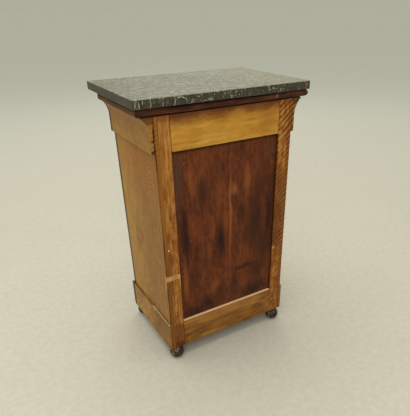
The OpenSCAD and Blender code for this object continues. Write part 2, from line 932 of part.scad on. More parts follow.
// One leaf; side is 1 on the frame, which has the first knuckle, and -1 on the door
module hinge_leaf(face_x, side) {
    near_x = side > 0 ? face_x : face_x - hinge_leaf_t;
    height = knuckle_h - metal_gap;
    difference() {
        union() {
            board([near_x, front_y + glue_gap, -hinge_h / 2],
                  [near_x + hinge_leaf_t, front_y + hinge_leaf_w, hinge_h / 2]);
            knuckles(side > 0 ? 0 : 1) {
                cylinder(r = knuckle_r, h = height);
            }
            knuckles(side > 0 ? 0 : 1)
                translate([near_x - hinge_x, 0, 0])
                    cube([hinge_leaf_t, front_y + glue_gap + eps - hinge_y, height]);
        }
        translate([hinge_x, hinge_y, -hinge_h / 2 - eps])
            cylinder(r = hinge_pin_r + pin_gap, h = hinge_h + 2 * eps);
        screw_heads(face_x, side, glue_gap);
        screw_holes(face_x, side);
    }
}

module hinge_frame_leaves() {
    color("goldenrod")
    for (z = hinge_zs) translate([0, 0, z]) hinge_leaf(front_open_x, 1);
}

module hinge_door_leaves() {
    color("goldenrod")
    for (z = hinge_zs) translate([0, 0, z]) hinge_leaf(door_x, -1);
}

// The pins have a low round head over and under the knuckles
module hinge_pins() {
    color("goldenrod")
    for (z = hinge_zs) translate([hinge_x, hinge_y, z]) {
        translate([0, 0, -hinge_h / 2]) cylinder(r = hinge_pin_r, h = hinge_h);
        for (end = [0, 1])
            mirror([0, 0, end]) translate([0, 0, hinge_h / 2])
                cylinder(r1 = knuckle_r, r2 = knuckle_r - pin_head_h / 2, h = pin_head_h);
    }
}

module hinge_screws(face_x, side) {
    color("darkgoldenrod")
    for (z = hinge_zs) translate([0, 0, z])
        difference() {
            union() {
                screw_heads(face_x, side);
                at_screws(face_x, side) cylinder(r = screw_r, h = screw_l);
            }
            at_screws(face_x, side)
                cube([2 * screw_head_r + eps, screw_slot_w, 2 * screw_slot_d], center = true);
        }
}

module hinge_frame_screws() { hinge_screws(front_open_x, 1); }

module hinge_door_screws() { hinge_screws(door_x, -1); }

// ---- Lock, bolt, strike and key ----

module lock_space(gap) {
    board([-door_x - (gap > 0 ? eps : 0), lock_y0 - gap, key_z - lock_h / 2 - gap],
          [-door_x + lock_w + gap, door_back + (gap > 0 ? eps : 0), key_z + lock_h / 2 + gap]);
}

// A round hole for the shank over a slot for the bit, cut along Y
module keyhole(y0, y1) {
    hole_r = key_r + metal_gap;
    slot_w = key_bit_t + 2 * metal_gap;
    translate([key_x, y0, key_z]) rotate([-90, 0, 0]) {
        cylinder(r = hole_r, h = y1 - y0);
        translate([-slot_w / 2, 0, 0]) cube([slot_w, key_bit_reach + metal_gap, y1 - y0]);
    }
}

// The bolt at rest, drawn back flush with the door's edge
module bolt_body(gap = 0) {
    board([bolt_nose - (gap > 0 ? 2 * eps : 0), bolt_y0 - gap, bolt_z0 - gap],
          [bolt_tail, bolt_y0 + bolt_t + gap, bolt_z0 + bolt_h + gap]);
}

module lock_case() {
    color("darkgoldenrod")
    difference() {
        lock_space(0);
        board([-door_x + lock_wall, lock_y0 + lock_wall, key_z - lock_h / 2 + lock_wall],
              [-door_x + lock_w - lock_wall, door_back - lock_wall, key_z + lock_h / 2 - lock_wall]);
        intersection() {
            bolt_body(metal_gap / 2);
            board([-door_x - eps, lock_y0, key_z - lock_h / 2],
                  [-door_x + 2 * lock_wall, door_back, key_z + lock_h / 2]);
        }
        keyhole(lock_y0 - eps, lock_y0 + 2 * lock_wall);
    }
}

// The key's bit works in the notch on the underside of the bolt
module lock_bolt() {
    bite = acos(-(bolt_z0 - metal_gap - key_z) / key_bit_reach);
    notch_x0 = key_x + bolt_throw - bit_gap - metal_gap;
    notch_x1 = key_x + key_bit_reach * sin(bite) + bolt_throw * bite / 180 + bit_gap;
    color("darkgoldenrod")
    difference() {
        bolt_body();
        board([notch_x0, bolt_y0 - eps, bolt_z0 - eps],
              [notch_x1, bolt_y0 + bolt_t + eps, key_z + key_bit_reach + metal_gap]);
    }
}

module key() {
    tip_y = door_back - lock_wall - metal_gap;
    bow_y = front_y - escutcheon_t - key_shank_out - key_bow_r;
    color("gray")
    translate([key_x, 0, key_z]) {
        translate([0, bow_y + key_bow_r - eps, 0]) rotate([-90, 0, 0])
            cylinder(r = key_r, h = tip_y - bow_y - key_bow_r + eps);
        translate([0, bow_y + key_bow_r + key_collar_w, 0]) rotate([-90, 0, 0])
            cylinder(r = key_r + key_collar_step, h = key_collar_w);
        board([-key_bit_t / 2, bolt_y0, -key_bit_reach],
              [key_bit_t / 2, bolt_y0 + bolt_t, 0]);
        translate([-key_bow_t / 2, bow_y, 0]) rotate([0, 90, 0])
            linear_extrude(key_bow_t) difference() {
                circle(key_bow_r);
                circle(key_bow_r - key_bow_t);
            }
    }
}

module escutcheon() {
    end_r = escutcheon_w / 2;
    middle = escutcheon_h / 2 - end_r;
    color("gold")
    difference() {
        translate([key_x, front_y, key_z - key_bit_reach / 2]) rotate([90, 0, 0])
            linear_extrude(escutcheon_t) {
                for (z = [-middle, middle]) translate([0, z]) circle(end_r);
                square([escutcheon_w, 2 * middle], center = true);
            }
        keyhole(front_y - 2 * escutcheon_t, front_y + eps);
    }
}

// The strike: a plate let into the stile's edge, over a hole for the bolt
module strike_outline(gap) {
    side = strike_margin / 2 + gap;
    end = strike_margin + gap;
    board([-front_open_x - strike_t - gap, bolt_y0 - side, bolt_z0 - end],
          [-front_open_x + (gap > 0 ? eps : 0), bolt_y0 + bolt_t + side, bolt_z0 + bolt_h + end]);
}

module bolt_hole() {
    board([-door_x - bolt_throw - 2 * metal_gap, bolt_y0 - metal_gap, bolt_z0 - metal_gap],
          [-door_x, bolt_y0 + bolt_t + metal_gap, bolt_z0 + bolt_h + metal_gap]);
}

module strike_space(gap) {
    strike_outline(gap);
    bolt_hole();
}

module strike_plate() {
    color("darkgoldenrod")
    difference() {
        strike_outline(0);
        bolt_hole();
    }
}

marble_top();
top_moulding_front();
top_moulding_back();
top_moulding_left();
top_moulding_right();
side_frieze_left();
side_frieze_right();
side_panel_left();
side_panel_right();
side_plinth_left();
side_plinth_right();
front_plinth();
back_stile_left();
back_stile_right();
back_top_rail();
back_bottom_rail();
back_board_left();
back_board_right();
front_stile_left();
front_stile_right();
front_top_rail();
drawer_divider_rail();
front_bottom_rail();
cupboard_floor();
floor_bearer_left();
floor_bearer_right();
shelf();
shelf_cleat_left();
shelf_cleat_right();
dust_board();
drawer_runner_left();
drawer_runner_right();
drawer_guides();
drawer_kickers();
door_stop_strip();
foot_front_left();
foot_front_right();
foot_back_left();
foot_back_right();
drawer_front();
drawer_side_left();
drawer_side_right();
drawer_back();
drawer_bottom();
door_hinge_stile();
door_lock_stile();
door_top_rail();
door_bottom_rail();
door_panel();
door_panel_beads();
hinge_frame_leaves();
hinge_door_leaves();
hinge_pins();
hinge_frame_screws();
hinge_door_screws();
lock_case();
lock_bolt();
key();
escutcheon();
strike_plate();
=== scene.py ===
"""The looks of the bedside pot cupboard: worn and stained wood, fossil marble, brass and steel.

Metres, in the model's frame: the front faces -Y, the back +Y, and +X is the right-hand side.
Sizes and places on the object are written in millimetres and multiplied by MM.
"""

from math import cos, pi, radians, sin
from random import Random

import bmesh
import bpy
from mathutils import Matrix, Vector


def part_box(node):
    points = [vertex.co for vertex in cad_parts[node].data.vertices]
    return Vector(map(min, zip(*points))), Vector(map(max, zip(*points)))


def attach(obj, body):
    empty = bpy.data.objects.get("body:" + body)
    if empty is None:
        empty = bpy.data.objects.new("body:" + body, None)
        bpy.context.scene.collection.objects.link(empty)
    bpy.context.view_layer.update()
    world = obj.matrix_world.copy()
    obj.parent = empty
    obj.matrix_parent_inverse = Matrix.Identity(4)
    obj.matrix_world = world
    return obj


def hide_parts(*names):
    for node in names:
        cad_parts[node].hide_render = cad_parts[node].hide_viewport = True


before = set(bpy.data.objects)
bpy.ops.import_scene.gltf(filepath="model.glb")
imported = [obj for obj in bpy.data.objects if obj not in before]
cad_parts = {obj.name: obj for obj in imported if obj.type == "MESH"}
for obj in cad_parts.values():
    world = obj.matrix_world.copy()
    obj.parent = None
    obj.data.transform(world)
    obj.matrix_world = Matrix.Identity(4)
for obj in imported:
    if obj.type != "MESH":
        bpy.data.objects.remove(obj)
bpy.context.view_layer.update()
MM = 0.001
X, Y, Z = range(3)

# Faces of the carcass, in millimetres; on the left each X has the other sign
BACK_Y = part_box("back_stile_right")[1].y / MM
STILE_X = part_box("back_stile_right")[0].x / MM
STILE_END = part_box("back_stile_right")[1].x / MM
SIDE_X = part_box("side_panel_right")[1].x / MM
BOARD_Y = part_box("back_board_right")[1].y / MM
PLINTH_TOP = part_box("side_plinth_right")[1].z / MM
FRIEZE_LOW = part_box("side_frieze_right")[0].z / MM

# The pale repair across the near stile: its heights, and how far down the wood is worn below it
REPAIR_LOW, REPAIR_HIGH, REPAIR_WORN = 284, 295, 262


# ---- Colours ----

def srgb(red, green, blue):
    """A colour written from 0 to 255, as the linear values that shaders take"""
    def linear(level):
        level /= 255
        return level / 12.92 if level <= 0.04045 else ((level + 0.055) / 1.055) ** 2.4
    return (linear(red), linear(green), linear(blue), 1.0)


# ---- Shader nodes ----

class Shader:
    """A material's nodes, with one short method for each kind that the materials use"""

    def __init__(self, name, **constants):
        self.material = bpy.data.materials.new(name)
        self.material.use_nodes = True
        self.tree = self.material.node_tree
        self.surface = self.tree.nodes["Principled BSDF"]
        for socket, value in constants.items():
            self.surface.inputs[socket.replace("_", " ")].default_value = value
        self.at = self.node("ShaderNodeTexCoord").outputs["Object"]

    def put(self, socket, value):
        if isinstance(value, bpy.types.NodeSocket):
            self.tree.links.new(value, socket)
        else:
            socket.default_value = value

    def node(self, kind, *values, **settings):
        """A node with these settings, and these values or sockets on its inputs in turn"""
        made = self.tree.nodes.new(kind)
        for name, value in settings.items():
            setattr(made, name, value)
        for socket, value in zip(made.inputs, values):
            self.put(socket, value)
        return made

    def math(self, operation, *values):
        return self.node("ShaderNodeMath", *values, operation=operation).outputs[0]

    def vector(self, operation, *values):
        made = self.node("ShaderNodeVectorMath", *values, operation=operation)
        return made.outputs["Value" if operation in ("LENGTH", "DOT_PRODUCT") else "Vector"]

    def split(self, vector):
        return self.node("ShaderNodeSeparateXYZ", vector).outputs

    def join(self, x, y, z):
        return self.node("ShaderNodeCombineXYZ", x, y, z).outputs[0]

    def noise(self, at, detail=2.0, roughness=0.5, distortion=0.0):
        """Soft noise from 0 to 1, one lump to each unit of at"""
        made = self.node("ShaderNodeTexNoise", at)
        made.inputs["Scale"].default_value = 1.0
        made.inputs["Detail"].default_value = detail
        made.inputs["Roughness"].default_value = roughness
        made.inputs["Distortion"].default_value = distortion
        return made.outputs["Fac"]

    def cells(self, at, feature="F1"):
        """Distance to the nearest seed point of a cell pattern, one cell to each unit of at"""
        made = self.node("ShaderNodeTexVoronoi", at, feature=feature)
        made.inputs["Scale"].default_value = 1.0
        return made.outputs["Distance"]

    def per_mm(self, x, y=None, z=None):
        """The place on the object, times these counts for each millimetre along each axis"""
        counts = (x, x if y is None else y, x if z is None else z)
        return self.vector("MULTIPLY", self.at, tuple(count / MM for count in counts))

    def ease(self, value, start, end, low=0.0, high=1.0):
        """low where value is at start, high where it is at end, with a soft change between"""
        made = self.node("ShaderNodeMapRange", value, start, end, low, high,
                         interpolation_type="SMOOTHSTEP")
        return made.outputs[0]

    def mix(self, share, one, other):
        """A colour that goes from one to the other as share goes from 0 to 1"""
        made = self.tree.nodes.new("ShaderNodeMix")
        made.data_type = "RGBA"
        self.put(made.inputs[0], share)
        self.put(made.inputs[6], one)
        self.put(made.inputs[7], other)
        return made.outputs[2]

    def times(self, *values):
        product = values[0]
        for value in values[1:]:
            product = self.math("MULTIPLY", product, value)
        return product

    def wave(self, value):
        """0 to 1 and back, once for each unit of value"""
        turn = self.math("MULTIPLY", value, 2 * pi)
        return self.math("MULTIPLY_ADD", self.math("SINE", turn), 0.5, 0.5)

    def spot(self, centre, reach, at=None, core=0.0):
        """1 at centre, fading to 0 at reach from it; both in millimetres along each axis"""
        away = self.vector("SUBTRACT", at or self.at, tuple(c * MM for c in centre))
        away = self.vector("MULTIPLY", away, tuple(1 / (r * MM) for r in reach))
        return self.ease(self.vector("LENGTH", away), 1.0, core)

    def band(self, axis, low, high, soft, at=None):
        """1 between low and high along an axis, in millimetres, fading over soft"""
        place = self.split(at or self.at)[axis]
        up = self.ease(place, (low - soft) * MM, low * MM)
        down = self.ease(place, (high + soft) * MM, high * MM)
        return self.math("MULTIPLY", up, down)

    def shaken(self, amount, *counts):
        """The place on the object, moved about by up to amount millimetres, which may be a triple;
        the shifts change this many times for each millimetre"""
        shift = self.node("ShaderNodeTexNoise", self.per_mm(*counts))
        shift.inputs["Scale"].default_value = 1.0
        shift.inputs["Detail"].default_value = 3.0
        centred = self.vector("SUBTRACT", shift.outputs["Color"], (0.5, 0.5, 0.5))
        reach = amount if isinstance(amount, tuple) else (amount,) * 3
        moved = self.vector("MULTIPLY", centred, tuple(2 * r * MM for r in reach))
        return self.vector("ADD", self.at, moved)

    def blotches(self, colour, counts, *kinds):
        """The colour with soft blotches, counts of them for each millimetre along each axis; each
        kind has a tint, its share, and a shift that sets its pattern apart from the others"""
        for tint, share, shift in kinds:
            place = self.vector("ADD", self.per_mm(*counts), (shift, 0.37 * shift, 0.73 * shift))
            lumps = self.ease(self.noise(place, detail=3.0, roughness=0.65), 0.46, 0.66)
            colour = self.mix(self.times(lumps, share), colour, tint)
        return colour

    def edges(self, radius):
        """1 along the edges of the piece, fading to 0 at radius millimetres from them"""
        soft = self.node("ShaderNodeBevel", radius * MM, samples=4).outputs[0]
        hard = self.node("ShaderNodeNewGeometry").outputs["Normal"]
        return self.ease(self.vector("DOT_PRODUCT", soft, hard), 0.998, 0.86)

    def facing(self, axis):
        """1 where the surface faces along +axis, 0 where it doesn't, in the piece's own frame"""
        normal = self.node("ShaderNodeNewGeometry").outputs["Normal"]
        turned = self.node("ShaderNodeVectorTransform", normal, vector_type="NORMAL",
                           convert_from="WORLD", convert_to="OBJECT").outputs[0]
        return self.ease(self.split(turned)[axis], 0.6, 0.9)

    def across(self):
        """The distance from the object's middle plane, the same on the left as on the right"""
        return self.math("ABSOLUTE", self.split(self.at)[X])

    def toned(self, tone, tones):
        """The dark, middle and light colours of tones where tone is 0, 0.5 and 1"""
        dark, middle, light = tones
        colour = self.mix(self.ease(tone, 0.0, 0.5), dark, middle)
        return self.mix(self.ease(tone, 0.5, 1.0), colour, light)

    def relief(self, height, depth):
        """Bump as deep as depth millimetres where height goes from 0 to 1"""
        made = self.node("ShaderNodeBump")
        made.inputs["Distance"].default_value = depth * MM
        self.put(made.inputs["Height"], height)
        self.put(self.surface.inputs["Normal"], made.outputs[0])

    def finish(self, colour, roughness=None):
        self.put(self.surface.inputs["Base Color"], colour)
        if roughness is not None:
            self.put(self.surface.inputs["Roughness"], roughness)
        return self.material


# ---- Wood ----

def wood(name, grain, tones, seed, figure=None, marks=None, ring=9.0, rings=0.16, streaks=0.3,
         clouds=0.3, mottle=0.2, fibres=0.25, pores=0.3, shine=(0.42, 0.56), gloss=0.12, coat=0.0,
         wear=None):
    """Wood with rings, streaks, clouds, mottling, fibres and pores. grain is the axis that it runs
    along, and tones are its dark, middle and light colours. figure(shader) adds to its tone, and
    marks(shader, colour) paints what is on it. ring is the gap between rings in millimetres."""
    s = Shader(name, Specular_IOR_Level=gloss, Coat_Weight=coat, Coat_Roughness=0.3)
    draw = Random(seed)
    along = "xyz".index(grain)
    wide, thick = [axis for axis in range(3) if axis != along]
    pith = (draw.choice((-1, 1)) * draw.uniform(40, 120), draw.uniform(25, 80))
    here = s.split(s.at)
    moved = s.split(s.vector("ADD", s.at, tuple(draw.uniform(-400, 400) * MM for _ in range(3))))
    board = s.join(moved[wide], moved[thick], moved[along])

    def stretched(across, lengthwise):
        """The place in the board, with these counts for each millimetre across and along the grain"""
        return s.vector("MULTIPLY", board, (across / MM, across / MM, lengthwise / MM))

    # Rings round a pith that sways by 30 millimetres to either side along the board
    sway = s.math("MULTIPLY_ADD", s.noise(stretched(0.01, 0.0025), detail=1.0), 60 * MM, -30 * MM)
    from_pith = s.vector("LENGTH", s.join(
        s.math("ADD", s.math("ADD", here[wide], pith[0] * MM), sway),
        s.math("ADD", s.math("ADD", here[thick], pith[1] * MM), s.times(sway, 0.6)), 0.0))
    yearly = s.math("POWER", s.wave(s.math("DIVIDE", from_pith, ring * MM)), 1.6)
    streak = s.noise(stretched(0.08, 0.005), detail=4.0, roughness=0.6)
    cloud = s.noise(stretched(0.02, 0.009), detail=4.0, roughness=0.6)
    patch = s.noise(stretched(0.07, 0.03), detail=3.0, roughness=0.6)
    fibre = s.noise(stretched(0.9, 0.025), detail=3.0, roughness=0.7)
    pore = s.ease(s.noise(stretched(1.6, 0.08), detail=1.0), 0.62, 0.74)

    # Each layer adds up to half its amount to the tone, or takes as much from it
    tone = s.math("MULTIPLY_ADD", streak, 4 * streaks, 0.5 - 2 * streaks)
    for layer, amount in ((cloud, 4 * clouds), (patch, 4 * mottle), (yearly, -rings), (fibre, fibres)):
        tone = s.math("ADD", tone, s.math("MULTIPLY_ADD", layer, amount, -amount / 2))
    if figure:
        tone = s.math("ADD", tone, figure(s))
    colour = s.toned(tone, tones)
    hollow = tuple(level * 0.4 for level in tones[0][:3]) + (1.0,)
    colour = s.mix(s.times(pore, pores), colour, hollow)
    if wear:
        share = s.times(s.edges(1.8), s.ease(cloud, 0.35, 0.6, 0.15, 0.8))
        colour = s.mix(share, colour, wear)
    if marks:
        colour = marks(s, colour)
    s.relief(s.math("SUBTRACT", s.times(fibre, 0.5), s.times(pore, pores)), 0.1)
    return s.finish(colour, s.ease(streak, 0.3, 0.7, *shine))


# The rope-like figure of the two back stiles: its slope, the gap between its ribs, its strength, and
# the heights between which it is strong
ROPES = {"right": (0.4, 11, 0.22, 100, 275), "left": (0.75, 15.5, 0.42, 290, 760)}


def rope(s, slope, pitch, strength, low, high):
    """The tone of slanting ribs that come and go"""
    place = s.split(s.shaken(9.0, 0.016))
    climb = s.math("ADD", place[Z], s.times(place[X], slope))
    rib = s.math("POWER", s.wave(s.math("DIVIDE", climb, pitch * MM)), 0.7)
    reach = s.ease(s.noise(s.per_mm(0.03, 0.03, 0.018), detail=2.0), 0.36, 0.6, 0.25, 1.0)
    reach = s.times(reach, s.ease(s.band(Z, low, high, 50), 0.0, 1.0, 0.45, 1.0))
    return s.times(s.math("MULTIPLY_ADD", rib, 2 * strength, -1.1 * strength), reach)


def painted(*spots, rough=6.0, counts=(0.045,)):
    """Marks from a list of (centre, reach, colour, strength), in millimetres, with ragged edges"""
    def marks(s, colour):
        ragged = s.shaken(rough, *counts)
        for centre, reach, tint, strength in spots:
            share = s.times(s.spot(centre, reach, at=ragged), strength)
            colour = s.mix(share, colour, tint)
        return colour
    return marks


# Wood that has lost its polish
BARE_WOOD = srgb(200, 156, 96)

# Dark, middle and light tones of each wood
SIDE_TONES = (srgb(120, 78, 32), srgb(160, 117, 56), srgb(182, 144, 78))
STILE_TONES = (srgb(84, 42, 12), srgb(138, 84, 30), srgb(184, 130, 54))
TOP_RAIL_TONES = (srgb(150, 94, 28), srgb(194, 140, 48), srgb(212, 166, 76))
LOW_RAIL_TONES = (srgb(86, 48, 18), srgb(134, 88, 36), srgb(170, 122, 58))
BOARD_TONES = (srgb(54, 28, 18), srgb(98, 50, 26), srgb(126, 68, 34))
MOULDING_TONES = (srgb(30, 14, 9), srgb(54, 28, 17), srgb(104, 56, 34))
SIDE_MOULDING_TONES = (srgb(52, 30, 14), srgb(92, 64, 34), srgb(122, 90, 52))
FRONT_TONES = (srgb(66, 30, 12), srgb(108, 58, 24), srgb(142, 88, 42))
INSIDE_TONES = (srgb(140, 104, 58), srgb(174, 140, 90), srgb(196, 166, 116))
DRAWER_TONES = (srgb(132, 96, 50), srgb(168, 132, 80), srgb(190, 156, 102))
FOOT_TONES = (srgb(22, 15, 11), srgb(52, 39, 28), srgb(132, 110, 86))


def put_on(material, *nodes):
    """The material on these nodes of the frame, in place of the one that they came with"""
    for name in nodes:
        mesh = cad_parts[name].data
        mesh.materials.clear()
        mesh.materials.append(material)


def add_piece(name, mesh, material):
    """A new object of this mesh and material"""
    data = bpy.data.meshes.new(name)
    mesh.to_mesh(data)
    mesh.free()
    data.materials.append(material)
    piece = bpy.data.objects.new(name, data)
    bpy.context.scene.collection.objects.link(piece)
    return piece


# ---- Back ----

def dress_back_boards():
    """Two stained boards with streaks, burns and a pale seam, from the left of the photograph"""
    black, brown, red = srgb(40, 24, 20), srgb(60, 34, 22), srgb(110, 54, 27)
    # The grey tint is a painted sheen, a pale veil on the boards near the top
    rust, warm, grey_sheen = srgb(136, 72, 36), srgb(156, 92, 48), srgb(80, 58, 44)
    y = BOARD_Y
    streaky = dict(rough=(9.0, 0.0, 24.0), counts=(0.07, 0.07, 0.012))
    first = painted(
        ((146, y, 560), (22, 20, 130), grey_sheen, 0.8),
        ((108, y, 560), (11, 20, 96), rust, 0.85),
        ((78, y, 516), (26, 20, 50), brown, 0.75),
        ((133, y, 440), (24, 20, 74), black, 0.9),
        ((131, y, 377), (26, 20, 96), black, 0.9),
        ((92, y, 396), (32, 20, 66), red, 0.7),
        ((58, y, 420), (12, 20, 60), red, 0.6),
        ((20, y, 362), (27, 20, 90), black, 0.97),
        ((48, y, 396), (14, 20, 74), rust, 0.55),
        ((70, y, 300), (30, 20, 40), brown, 0.6),
        ((107, y, 271), (24, 20, 50), brown, 0.6),
        ((138, y, 262), (14, 20, 104), rust, 0.9),
        ((42, y, 214), (26, 20, 40), rust, 0.85),
        ((66, y, 162), (30, 20, 40), black, 0.85),
        ((110, y, 146), (70, 20, 34), black, 0.75),
        ((24, y, 510), (26, 20, 84), rust, 0.5),
        ((98, y, 344), (14, 20, 44), black, 0.55),
        ((60, y, 322), (13, 20, 72), rust, 0.5),
        ((22, y, 190), (36, 20, 60), brown, 0.7),
        ((6, y, 430), (10, 20, 100), rust, 0.5),
        ((122, y, 596), (2.2, 20, 2.2), srgb(176, 160, 136), 0.7),
        ((120, y, 560), (2.0, 20, 2.0), srgb(150, 130, 108), 0.6),
        ((118, y, 383), (2.4, 20, 2.4), srgb(150, 140, 128), 0.7),
        **streaky
    )
    second = painted(
        ((-10, y, 452), (7, 20, 190), warm, 0.75),
        ((-24, y, 501), (22, 20, 26), warm, 0.65),
        ((-9, y, 330), (7, 20, 120), rust, 0.75),
        ((-66, y, 520), (20, 20, 60), warm, 0.5),
        ((-62, y, 552), (20, 20, 40), rust, 0.5),
        ((-46, y, 430), (26, 20, 56), brown, 0.85),
        ((-90, y, 380), (44, 20, 150), brown, 0.85),
        ((-112, y, 400), (30, 20, 110), black, 0.4),
        ((-144, y, 398), (26, 20, 150), black, 0.85),
        ((-126, y, 502), (44, 20, 44), srgb(76, 36, 20), 0.7),
        ((-140, y, 600), (24, 20, 40), grey_sheen, 0.5),
        ((-128, y, 300), (40, 20, 110), brown, 0.85),
        ((-106, y, 496), (32, 20, 76), srgb(62, 32, 20), 0.6),
        ((-104, y, 222), (44, 20, 44), srgb(54, 32, 22), 0.8),
        ((-26, y, 200), (24, 20, 70), brown, 0.55),
        ((-58, y, 352), (22, 20, 50), brown, 0.6),
        ((-66, y, 286), (36, 20, 36), red, 0.5),
        ((-66, y, 206), (26, 20, 32), red, 0.6),
        ((-96, y, 158), (84, 20, 44), brown, 0.95),
        ((-100, y, 146), (70, 20, 18), black, 0.6),
        **streaky
    )

    smudge = painted(((-66, y, 249), (64, 20, 13), black, 0.75),
                     ((-40, y, 246), (26, 20, 9), black, 0.6), rough=3.0)

    def stain_and_shade(marks):
        """Streaks of stain under the marks, and a painted shade line along the top, under the rail"""
        def all_marks(s, colour):
            colour = s.blotches(colour, (0.045, 0.045, 0.012), (black, 0.3, 3.0), (rust, 0.36, 8.0),
                                (brown, 0.35, 13.0))
            colour = s.blotches(colour, (0.12, 0.12, 0.05), (black, 0.3, 23.0), (rust, 0.3, 28.0))
            # Painted shade along the top of the boards, under the rail
            line = s.times(s.band(Z, 629, 700, 4), 0.6)
            colour = s.mix(line, marks(s, colour), srgb(42, 24, 15))
            return smudge(s, colour)
        return all_marks

    board = dict(ring=11, rings=0.03, streaks=0.14, clouds=0.24, mottle=0.2, fibres=0.12, pores=0.25,
                 shine=(0.46, 0.66), gloss=0.1)
    for side, seed, marks in (("right", 5, first), ("left", 3, second)):
        put_on(wood(f"back_board_{side}_wood", "z", BOARD_TONES, seed, marks=stain_and_shade(marks), **board),
               f"back_board_{side}")


